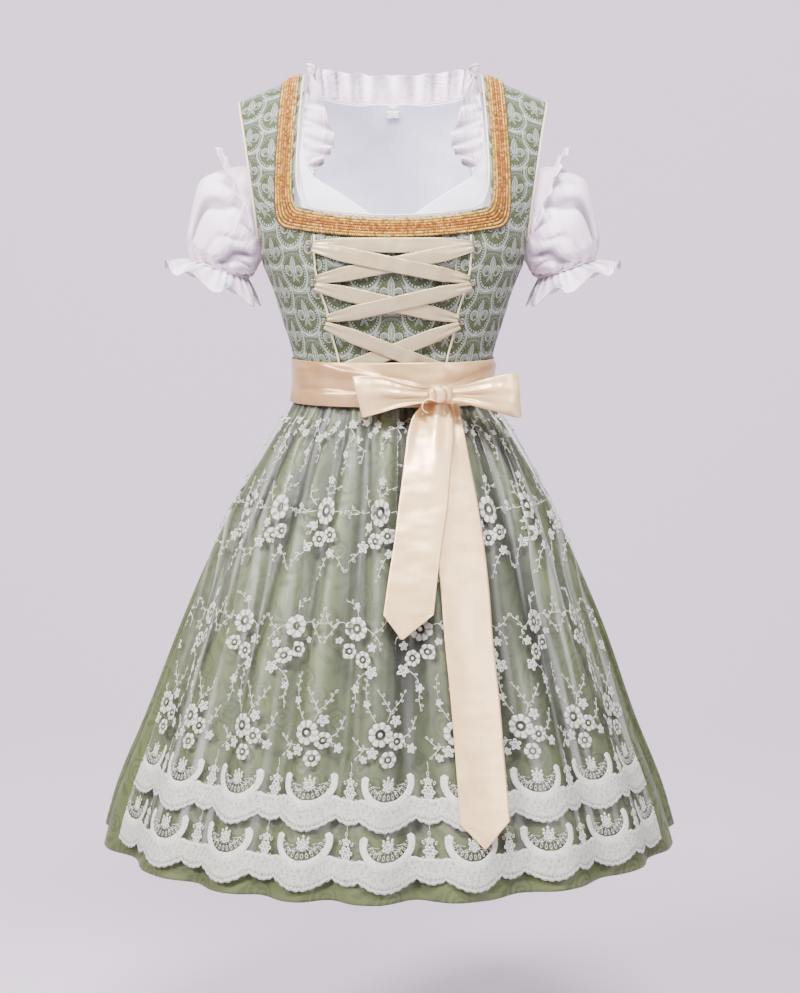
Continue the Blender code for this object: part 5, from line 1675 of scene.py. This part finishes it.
def makeNeckRuffle():
    made = blouseSettings
    rows, hollows, casing = [[] for _ in range(13)], [[] for _ in range(13)], []
    for i, spot in enumerate(spread(-8.0, 8.0, 601)):
        station = 8.0 - abs(spot)
        side = -1.0 if spot < 0 else 1.0
        base, reach = neckVector(station), neckVector(station, "outX outY outZ")
        along = neckVector(min(8.0, station + 0.05)) - neckVector(max(0.0, station - 0.05))
        swing = along.cross(reach).normalized()
        turn = math.pi * (spot + 8.0) / 8.0
        phase = made["neckWaves"] * turn + 0.9 * math.sin(5 * turn)
        wave = math.cos(made["neckWaves"] * turn)
        fine = math.cos(2 * phase + 1.3 * math.sin(7 * turn))
        for k, row in enumerate(rows):
            share = k / (len(rows) - 1)
            fall = 0.0004 + made["neckSwing"] * share ** 0.8
            crisp = 0.0007 * math.sin(math.pi * min(1.0, 0.15 + share)) * fine * (1 - 0.6 * share)
            edge = 1 + 0.05 * share * math.cos(phase)
            point = base + reach * share * edge + swing * (wave * fall + crisp)
            row.append(Vector((side * point.x, point.y, point.z)))
            # painted shade in the ruffle's waves and fine pleats, stronger towards its edge, with a little
            # over all of it
            hollows[k].append(clamped(0.32 - 0.72 * wave * share + 0.26 * fine * (1 - 0.5 * share)))
        if i % 4 == 0:
            casing.append(Vector((side * base.x, base.y, base.z - 0.0002)))
    piece = clothPiece("neckRuffle", rows, whiteCotton, made["ruffleWall"], offset=0.0, node="neck_ruffle",
                       slot="cotton", hollows=hollows)
    cordPiece("neckCasing", casing, made["elastic"], whiteCotton, None, "cotton")


# apron: sheer gathered net, scalloped along its lower edge
apronSettings = {
    "top": -0.3890, "hem": -0.957, "columns": 250, "rows": 62, "netWall": 0.0005,
    "scallop": 0.099, "wide": 0.066, "deep": 0.013, "small": 0.006, "picot": 0.0085, "picotHigh": 0.0018,
    "borderGap": 0.071, "gathers": 74, "gatherHigh": 0.0014, "drift": 0.0012,
    "lean": 0.62, "pleatHigh": 0.0016,
    # how much the net veils: at least, where it lies double, more at the sides and under the sash
    "veil": (0.018, 0.032, 0.155, 0.05),
    # small pleats of the net: way across (share of half the width), width, depth
    "pleats": ((-0.97, 0.0060, 1.0), (-0.90, 0.0065, 1.0), (-0.80, 0.0060, 0.9), (-0.66, 0.0070, 1.0),
               (-0.52, 0.0050, 0.6), (-0.36, 0.0055, 0.8), (-0.17, 0.0050, 0.6), (0.02, 0.0050, 0.7),
               (0.16, 0.0050, 0.6), (0.35, 0.0060, 0.8), (0.50, 0.0055, 0.8), (0.63, 0.0065, 1.0),
               (0.76, 0.0060, 0.9), (0.88, 0.0065, 1.0), (0.965, 0.0060, 1.0)),
}


def apronTables():
    # cloth lengths up the front and along half of the hem
    made = apronSettings
    lengths, heights = [0.0], spread(made["hem"], made["top"], 400)
    points = [apronPoint(0.0, z, wave=1.0) for z in heights]
    for before, after in zip(points, points[1:]):
        lengths.append(lengths[-1] + (after - before).length)
    edge = readForm(apronForm, "edge", made["hem"])
    hem = [apronPoint(angle, made["hem"], wave=0.0) for angle in spread(0.0, edge, 200)]
    return lengths, heights, sum((after - before).length for before, after in zip(hem, hem[1:]))


apronLengths, apronHeights, hemHalf = apronTables()
clothLong = apronLengths[-1]
netRows = {}


def netRow(t):
    # what the cloth does at a length up from the hem, worked out once for each half millimetre
    key = round(t * 2000)
    if key not in netRows:
        made = apronSettings
        z = float(np.interp(t, apronLengths, apronHeights)) if t >= 0 else made["hem"] + t * 0.9
        share = (z - made["hem"]) / (made["top"] - made["hem"])
        netRows[key] = {
            "z": z, "edge": readForm(apronForm, "edge", z), "lift": readForm(apronForm, "lift", z),
            "fold": readForm(skirtForm, "fold", z), "wide": readForm(skirtForm, "halfWidth", z),
            "front": readForm(skirtForm, "front", z), "shift": readForm(skirtForm, "shift", z),
            "power": 2.0 / skirtPower(z), "narrow": 1.0 - 0.68 * share,
            "opened": smoothStep(-0.86, -0.60, z) * smoothStep(-0.405, -0.45, z),
            "gather": made["gatherHigh"] * smoothStep(-0.405, -0.43, z) * smoothStep(-0.75, -0.43, z),
            "drift": made["drift"] * smoothStep(-0.45, -0.6, z)}
    return netRows[key]


def netPoint(s, t, lift=0.0):
    made, row = apronSettings, netRow(t)
    u = way = s / hemHalf
    reach = hemHalf * row["narrow"]
    if row["opened"] > 0:
        for centre, wide, depth in made["pleats"]:
            tau = (way - centre) * reach / wide
            if -1 < tau < 6:
                if tau < 1:
                    u -= wide / reach * made["lean"] * depth * row["opened"] * math.sin(math.pi * tau)
                raised = smoothStep(-0.5, 0.5, tau) * smoothStep(6.0, 1.0, tau)
                lift += made["pleatHigh"] * depth * row["opened"] * raised
    angle = u * row["edge"]
    a = math.radians(angle)
    lift += row["lift"] + row["gather"] * math.cos(made["gathers"] * a + 2.2 * math.sin(7 * a))
    if row["drift"] > 0:
        lift += row["drift"] * noise.noise(Vector((s * 16, row["z"] * 6, 12.0)))
    ripple = row["fold"] * pleatStrength(angle) * (math.cos(pleatPhase(angle)) - 1) + lift
    x = (row["wide"] + ripple) * signedPower(math.sin(a), row["power"])
    y = -(row["front"] + ripple) * signedPower(math.cos(a), row["power"])
    return Vector((x - row["shift"], y, row["z"]))


def netVeil(s, t):
    # narrow lengthwise streaks where the drape lies double, more of them at the sides and under the sash
    streak = smoothStep(0.0, 0.42, noise.noise(Vector((s * 75, t * 3.5, 3.0))))
    least, double, side, top = apronSettings["veil"]
    return least + streak * (double + side * smoothStep(0.09, 0.35, abs(s)) + top * smoothStep(0.42, 0.58, t))


def scallopDepth(way):
    made = apronSettings
    place = (way + made["wide"] / 2) % made["scallop"]
    if place < made["wide"]:
        return made["deep"] * math.sin(math.pi * place / made["wide"])
    return made["small"] * math.sin(math.pi * (place - made["wide"]) / (made["scallop"] - made["wide"]))


def picot(way):
    return apronSettings["picotHigh"] * abs(math.sin(math.pi * way / apronSettings["picot"])) ** 0.7


laceSettings = {
    "rest": 0.0006, "domed": 0.0004, "widening": 0.3,
    # sprays: height up the cloth, shift along it, kind
    "rows": ((0.180, -0.011, 0), (0.304, 0.047, 1), (0.449, -0.020, 2), (0.566, 0.013, 3)),
}


class Motif:
    # raised shapes in millimetres with flat backs; each point has its height and how open its stitches are
    def __init__(self):
        self.points, self.faces = [], []

    def strip(self, rings, closed=False, hollow=True):
        start, wide, last = len(self.points), len(rings[0]), len(rings) - 1
        for ring in rings:
            self.points += [tuple(point) + ((0.0,) if len(point) == 3 else ()) for point in ring]

        def at(r, c):
            return start + r * wide + c % wide

        for r in range(last):
            for c in range(wide if closed else wide - 1):
                self.faces.append((at(r, c), at(r, c + 1), at(r + 1, c + 1), at(r + 1, c)))
        first = tuple(at(0, wide - 1 - c) for c in range(wide))
        crown = tuple(at(last, c) for c in range(wide))
        if closed and hollow:               # ring: its back joins the outer and inner edges
            self.faces += [(at(last, c), at(last, c + 1), at(0, c + 1), at(0, c)) for c in range(wide)]
        elif closed:                        # cap: a crown and a flat back
            self.faces += [crown, first]
        else:                               # band: a flat back and two ends
            end = wide - 1
            self.faces += [(at(r, end), at(r, 0), at(r + 1, 0), at(r + 1, end)) for r in range(last)]
            self.faces += [first, crown]

    def ringFlower(self, x, y, size, hole, petals, tall=1.0):
        count = petals * 6                  # so that a point falls in every cleft between two petals
        rings = []
        for share, high, opened in ((1.0, 0.0, 0.05), (0.86, 1.0, 0.0), (0.5, 0.9, 0.1), (0.16, 0.8, 0.1),
                                    (0.0, 0.0, 0.6)):
            ring = []
            for a in turns(count):
                lobe = abs(math.cos(petals * a / 2)) ** 0.5
                reach = hole + (size * (0.88 + 0.12 * lobe) - hole) * share
                cleft = 0.8 * (1 - lobe) if share > 0.1 else 0.0
                ring.append((x + reach * math.cos(a), y + tall * reach * math.sin(a),
                             high * (0.4 + 0.6 * lobe), min(1.0, opened + cleft)))
            rings.append(ring)
        self.strip(rings, closed=True)
        self.blob(x, y, hole * 0.5, hole * 0.5 * tall, 0, 8)

    def oval(self, x, y, wide, high, turn, count, share, lift):
        cosine, sine = math.cos(math.radians(turn)), math.sin(math.radians(turn))
        ring = [(wide * math.cos(a), high * math.sin(a)) for a in turns(count)]
        return [(x + share * (p * cosine - q * sine), y + share * (p * sine + q * cosine), lift)
                for p, q in ring]

    def loop(self, x, y, wide, high, turn=0.0, thick=0.38, count=9):
        self.strip([self.oval(x, y, wide, high, turn, count, share, lift)
                    for share, lift in ((1.0, 0.0), (1.0 - thick / 2, 0.9), (1.0 - thick, 0.0))], closed=True)

    def blob(self, x, y, wide, high, turn=0.0, count=8):
        self.strip([self.oval(x, y, wide, high, turn, count, share, lift)
                    for share, lift in ((1.0, 0.0), (0.6, 1.0))], closed=True, hollow=False)

    def smallFlower(self, x, y, size, petals=5, turn=0.0):
        for a in [a + math.radians(turn) for a in turns(petals)]:
            self.loop(x + size * 0.6 * math.cos(a), y + size * 0.6 * math.sin(a), size * 0.46, size * 0.37,
                      math.degrees(a), 0.8, 8)
        self.blob(x, y, size * 0.16, size * 0.16, 0, 6)

    def stem(self, points, wide=0.9, samples=9):
        fine = smoothLine([Vector((px, py, 0)) for px, py in points], samples)
        rows = []
        for i, p in enumerate(fine):
            along = (fine[min(i + 1, samples - 1)] - fine[max(i - 1, 0)]).normalized()
            side = Vector((-along.y, along.x, 0)) * wide / 2
            rows.append([(p.x - side.x, p.y - side.y, 0.0), (p.x, p.y, 0.8),
                         (p.x + side.x, p.y + side.y, 0.0)])
        self.strip(rows)
        return fine

    def twig(self, points, buds=5, size=2.0):
        fine = self.stem(points, samples=12)
        for k in range(buds):
            i = int(11 * (0.3 + 0.7 * k / max(1, buds - 1)))
            along = (fine[min(i + 1, 11)] - fine[max(i - 1, 0)]).normalized()
            beside = Vector((-along.y, along.x, 0)) * (1 if k % 2 else -1)
            away = along if k == buds - 1 else beside + along * 0.7
            away = away.normalized()
            spot = fine[i] + away * size * 1.5
            if k < buds - 1:
                self.stem([fine[i].xy, (spot - away * size).xy], 0.7, 3)
            self.loop(spot.x, spot.y, size * 1.15, size * 0.75,
                      math.degrees(math.atan2(away.y, away.x)), 0.5, 8)


def borderMotif():
    # one repeat of the border: a crescent over a filled scallop, then a small lobe with a budding flower
    made = apronSettings
    half, pitch = made["wide"] * 500, made["scallop"] * 1000
    motif = Motif()
    outer, top, bottom = 36.0, 58.0, 19.0
    rows = []
    for i in range(41):
        share = i / 40
        a = math.pi * (1.0 + share)
        end = min(share, 1 - share)
        curl = math.exp(-(end / 0.09) ** 2)
        thick = (4.0 + 0.8 * math.sin(math.pi * share) + 1.2 * curl) * min(1.0, math.sqrt(end / 0.028 + 0.02))
        reach = outer - 5.0
        across = (reach - 3.5 * curl) * math.cos(a)
        up = top + (top - bottom - 5.0) * math.sin(a) + 2.0 * curl
        rows.append([(across + math.cos(a) * thick * k, up + math.sin(a) * thick * k, h)
                     for k, h in ((-1.0, 0.0), (-0.75, 0.9), (0.0, 1.1), (0.75, 0.9), (1.0, 0.0))])
    motif.strip(rows)
    count = 72
    band = []
    for i in range(count + 1):               # filled band down to the scalloped edge
        x = -pitch / 2 + pitch * i / count
        low = made["deep"] * 500 - 1000 * (scallopDepth(x / 1000) + picot(x / 1000))
        inside = max(0.0, 1 - (x / (outer + 1.0)) ** 2)
        high = top - (top - bottom) * math.sqrt(inside) if inside > 0 else top
        valley = math.sin(math.pi * min(1.0, (half + 17 - abs(x)) / 17)) if abs(x) > half - 3 else 0.0
        high = max(bottom, min(high + 3.5, 33.0 - 3.0 * valley))
        column = []
        for k in range(11):
            share = k / 10
            y = low + (high - low) * share
            rim = math.exp(-((share - 0.1) / 0.08) ** 2)
            gap = math.exp(-((share - 0.2) / 0.05) ** 2) * (0.3 + 0.7 * math.sin(math.pi * x / 4.25) ** 2)
            petals = max(0.0, math.sin(2 * math.pi * x / 7.6 + (math.pi if share > 0.66 else 0.0))) ** 2
            petals *= math.exp(-((share - 0.55) / 0.07) ** 2) + math.exp(-((share - 0.8) / 0.06) ** 2)
            filling = 0.2 * smoothStep(0.15, 0.3, share) * smoothStep(1.0, 0.85, share)
            column.append((x, y, 0.0 if k in (0, 10) else 0.6 + 0.7 * rim - 0.2 * gap,
                           min(0.75, 0.9 * gap + filling + 0.4 * petals)))
        band.append(column)
    motif.strip(band)
    for i in range(13):                      # fan of small loops inside the crescent
        a = math.pi * (1.10 + 0.80 * i / 12)
        motif.loop(25.0 * math.cos(a), top + 24.0 * math.sin(a), 3.4, 1.6, math.degrees(a), 0.42, 7)
        if i % 2:
            motif.stem([(21.0 * math.cos(a), top + 20.0 * math.sin(a)),
                        (12.0 * math.cos(a), top - 6.0 + 10.0 * math.sin(a))], 0.7, 4)
    motif.smallFlower(0, 47.0, 7.5, 6, 30)
    for dx, dy in ((0.0, 57.0), (-5.0, 54.0), (5.0, 54.0)):
        motif.blob(dx, dy, 1.7, 2.4, dx * -5)
    for sign in (-1, 1):
        motif.twig([(sign * 5, 42.0), (sign * 11, 40.0), (sign * 17, 46.0)], 3, 1.6)
    x = pitch / 2                            # the small lobe's flower, at the end of the repeat
    motif.smallFlower(x, 38.0, 8.2, 6, 0)
    motif.smallFlower(x, 50.5, 5.6, 5, 90)
    motif.loop(x, 60.0, 1.9, 2.9, 0, 0.5)
    motif.stem([(x, 62.0), (x + 0.8, 68.0), (x - 0.4, 74.0)], 0.8, 4)
    for dx in (-7.5, 7.5):
        motif.loop(x + dx, 49.0, 1.7, 2.6, -dx * 3, 0.5)
        motif.loop(x + dx * 1.15, 29.5, 2.0, 3.0, dx * 4, 0.5)
    return motif


# sprays about their largest flower, in millimetres: its size and height, ring flowers (place, size, petals),
# small flowers (place, size), twigs (way, buds)
spraySettings = (
    {"main": (15.0, 1.0),
     "rings": ((20.5, -10.0, 10.4, 7), (9.5, -30.5, 10.2, 6)),
     "small": ((-9.5, -22.0, 7.4), (19.0, 14.5, 7.4), (39.0, -20.0, 6.2), (-20.0, -30.0, 5.0),
               (-18.0, 36.0, 5.2)),
     "twigs": (([(8, 14), (12, 26), (6, 38), (-2, 50)], 6), ([(12, 26), (22, 34), (30, 46)], 5),
               ([(-13, -16), (-24, -16), (-33, -8)], 4), ([(-18, -16), (-28, -28)], 3),
               ([(29, -6), (38, 0), (44, 14)], 5), ([(29, -12), (36, -16)], 2),
               ([(-6, 15), (-12, 24), (-16, 32)], 3), ([(-18, 41), (-20, 54), (-18, 66)], 5))},
    {"main": (15.0, 1.0),
     "rings": ((-8.5, -27.5, 9.8, 6), (11.0, -36.0, 10.4, 7)),
     "small": ((22.5, -20.5, 6.0), (23.0, -50.0, 8.0), (-23.5, -14.5, 4.2), (3.0, -72.0, 5.6),
               (-1.0, 28.0, 4.4)),
     "twigs": (([(-14, 5), (-24, 8), (-33, 4), (-40, 12), (-42, 22)], 6),
               ([(-24, 8), (-34, -4), (-40, -14)], 4), ([(15, 2), (24, -3), (33, 2), (40, 10)], 5),
               ([(24, -3), (31, -12), (33, -20)], 3), ([(14, -52), (6, -60), (3, -68)], 3),
               ([(3, -76), (4, -86), (2, -96)], 4), ([(2, 15), (-3, 26), (-14, 34)], 4))},
    {"main": (14.0, 1.3),
     "rings": ((11.0, -29.5, 10.2, 7), (-5.5, -36.0, 10.4, 6)),
     "small": ((-23.0, -45.0, 8.2), (-15.5, -19.0, 5.6), (3.0, 40.0, 5.8), (14.0, -52.0, 6.4),
               (-40.0, 6.0, 3.6)),
     "twigs": (([(-15, 0), (-26, -2), (-36, 2), (-42, 0)], 5), ([(-12, -12), (-18, -26)], 3),
               ([(-16, 6), (-20, 18), (-21, 30)], 4), ([(15, 0), (25, 1), (34, -4), (42, -3)], 5),
               ([(0, 15), (-1, 27), (3, 36)], 4), ([(2, 20), (10, 28), (20, 32)], 4),
               ([(-28, -50), (-36, -60), (-45, -72)], 5), ([(10, -56), (4, -66), (-2, -82)], 5),
               ([(14, -50), (24, -58), (30, -70)], 4))},
    {"main": None,
     "small": ((0.0, 0.0, 7.0), (-17.0, -15.0, 5.6), (15.0, -22.0, 6.0), (-3.0, -42.0, 5.2),
               (24.0, 2.0, 5.6), (-30.0, 0.0, 6.0), (40.0, -9.0, 5.0), (-42.0, -16.0, 4.6)),
     "twigs": (([(0, -6), (4, -18), (-2, -30), (-3, -38)], 3), ([(-3, -46), (0, -56), (-5, -66)], 4),
               ([(-5, -4), (-14, -8), (-17, -13)], 2), ([(-18, -22), (-24, -32), (-22, -44)], 4),
               ([(5, -4), (12, -12), (15, -19)], 2), ([(16, -29), (22, -38), (20, -52)], 4),
               ([(6, 2), (14, 8), (20, 6)], 2))},
)


def sprayMotif(kind):
    made, motif = spraySettings[kind], Motif()
    if made["main"]:
        size, tall = made["main"]
        motif.ringFlower(0, 0, size, 6.2, 9, tall)
    for x, y, size, petals in made.get("rings", ()):
        motif.ringFlower(x, y, size, 4.4, petals)
    for i, (x, y, size) in enumerate(made["small"]):
        motif.smallFlower(x, y, size, 5, 18 + 30 * i)
    for points, buds in made["twigs"]:
        motif.twig(points, buds)
    return motif


def embroider(name, placements):
    # sets motifs on the net: motif, way along the hem and up (metres), mirrored or not
    made = laceSettings
    verts, faces, uvs, opened = [], [], [], []
    top = clothLong - 0.004
    for motif, s0, t0, flip in placements:
        start = len(verts)
        wider = netRow(max(0.0, t0))["narrow"] ** -made["widening"]
        kept = []
        for x, y, high, gap in motif.points:
            s, t = s0 + (-x if flip else x) * wider / 1000, t0 + y / 1000
            kept.append(abs(s) <= hemHalf and t <= top)
            s, t = max(-hemHalf, min(hemHalf, s)), min(t, top)
            verts.append(netPoint(s, t, made["rest"] + high * made["domed"]))
            uvs.append((s, t))
            opened.append(gap)
        for face in motif.faces:
            if all(kept[i] for i in face):
                faces.append(tuple(start + i for i in (reversed(face) if flip else face)))
    return stitchPiece(name, verts, faces, laceThread, "lace", uvs, gaps=opened)


def makeApron():
    made = apronSettings
    rows, uvRows, veils = [], [], []
    for share in spread(0.0, 1.0, made["rows"]):
        row, places = [], []
        for s in spread(-hemHalf, hemHalf, made["columns"]):
            low = made["deep"] / 2 - scallopDepth(s) - picot(s) * 0.6
            t = low + (clothLong - low) * share
            row.append(netPoint(s, t))
            places.append((s, t))
        rows.append(row)
        uvRows.append(places)
        veils.append([netVeil(s, t) for s, t in places])
    net = clothPiece("apronNet", rows, sheerNet, made["netWall"], node="apron", slot="lace", behind=skirtAxis,
                     uvRows=uvRows, hollows=veils)
    border, sprays = borderMotif(), [sprayMotif(kind) for kind in range(4)]
    pitch = made["scallop"]
    pieces = [embroider(name, [(border, k * pitch, low, False) for k in range(-4, 5)])
              for name, low in (("laceBorderLower", 0.0005), ("laceBorderUpper", made["borderGap"]))]
    for i, (t, shift, kind) in enumerate(laceSettings["rows"]):
        placements = [(sprays[kind], k * pitch + shift, t, kind == 1 and k % 2 == 0) for k in range(-5, 6)]
        pieces.append(embroider("laceSprays%d" % (i + 1), placements))
    round(2 * hemHalf, 3)


# floor, light and camera
stageSettings = {
    "floorZ": -1.40, "tone": (219, 205, 221), "halfWidth": 7.0,
    "front": -6.0, "sweep": (2.2, 3.2), "wall": 7.0,    # y of the sweep's start, its radius; wall's height
    "eye": (0.009, -2.6, -0.19), "pitch": 7.6, "lens": 73.2,
    "air": (228, 220, 230), "airStrength": 0.42,
    # name, size, watts, place, aim, colour
    "lights": (
        ("softKey", (0.9, 1.1), 270, (-2.2, -2.0, 1.6), (0.0, 0.0, -0.4), (1.0, 0.985, 0.975)),
        ("softFill", (1.2, 1.8), 70, (2.4, -2.3, 0.6), (0.0, 0.0, -0.5), (0.985, 0.98, 1.0)),
        ("neckGlow", (0.7, 0.4), 125, (0.1, -1.3, 1.3), (0.0, 0.08, -0.12), (0.955, 0.95, 1.0)),
        ("topGlow", (1.6, 1.2), 36, (0.0, 0.9, 2.0), (0.0, 0.0, -0.4), (1.0, 1.0, 1.0)),
        ("backdropGlow", (1.4, 1.6), 135, (-2.4, 2.4, 2.4), (-0.6, 5.4, 0.9), (1.0, 0.98, 1.0)),
        ("backdropGlow", (1.4, 1.6), 135, (2.4, 2.4, 2.4), (0.6, 5.4, 0.9), (1.0, 0.98, 1.0))),
}


def makeStage():
    made = stageSettings
    material, _, shader = newMaterial("paleFloor")
    feed(shader, Base_Color=linear(*made["tone"]), Roughness=0.95)
    start, radius = made["sweep"]
    curve = [(start + radius * math.sin(a), radius - radius * math.cos(a))
             for a in spread(0.0, math.pi / 2, 48)]
    line = [(made["front"], 0.0), *curve, (start + radius, made["wall"])]
    rows = [[Vector((x, y, z + made["floorZ"])) for y, z in line]
            for x in (-made["halfWidth"], 0.0, made["halfWidth"])]
    mesh = gridMesh("studioFloor", rows, behind=lambda p: Vector((p.x, p.y + 2, p.z - 6)))
    linkPiece("studioFloor", mesh, material)


def makeLights():
    made = stageSettings
    for name, size, watts, spot, aim, colour in made["lights"]:
        data = bpy.data.lights.new(name, "AREA")
        data.shape = "RECTANGLE"
        data.size, data.size_y = size
        data.energy, data.color = watts, colour
        lamp = linkPiece(name, data)
        lamp.location = spot
        lamp.rotation_euler = (Vector(aim) - Vector(spot)).to_track_quat("-Z", "Y").to_euler()
    world = bpy.data.worlds.new("studio")
    bpy.context.scene.world = world
    world.use_nodes = True
    feed(world.node_tree.nodes["Background"], Color=linear(*made["air"]), Strength=made["airStrength"])


def makeCamera():
    made = stageSettings
    data = bpy.data.cameras.new("camera")
    data.lens, data.sensor_width = made["lens"], 36.0
    camera = linkPiece("camera", data)
    camera.location = made["eye"]
    camera.rotation_euler = (math.radians(90 - made["pitch"]), 0.0, 0.0)
    bpy.context.scene.camera = camera


for make in (makeStage, makeLights, makeCamera, makeBodice, makeBraid, makeLacing, makeHooks, makeSkirt,
             makeApron, makeSash, makeBow, makeBlouse):
    print(make.__name__[len("make"):].lower())
    make()
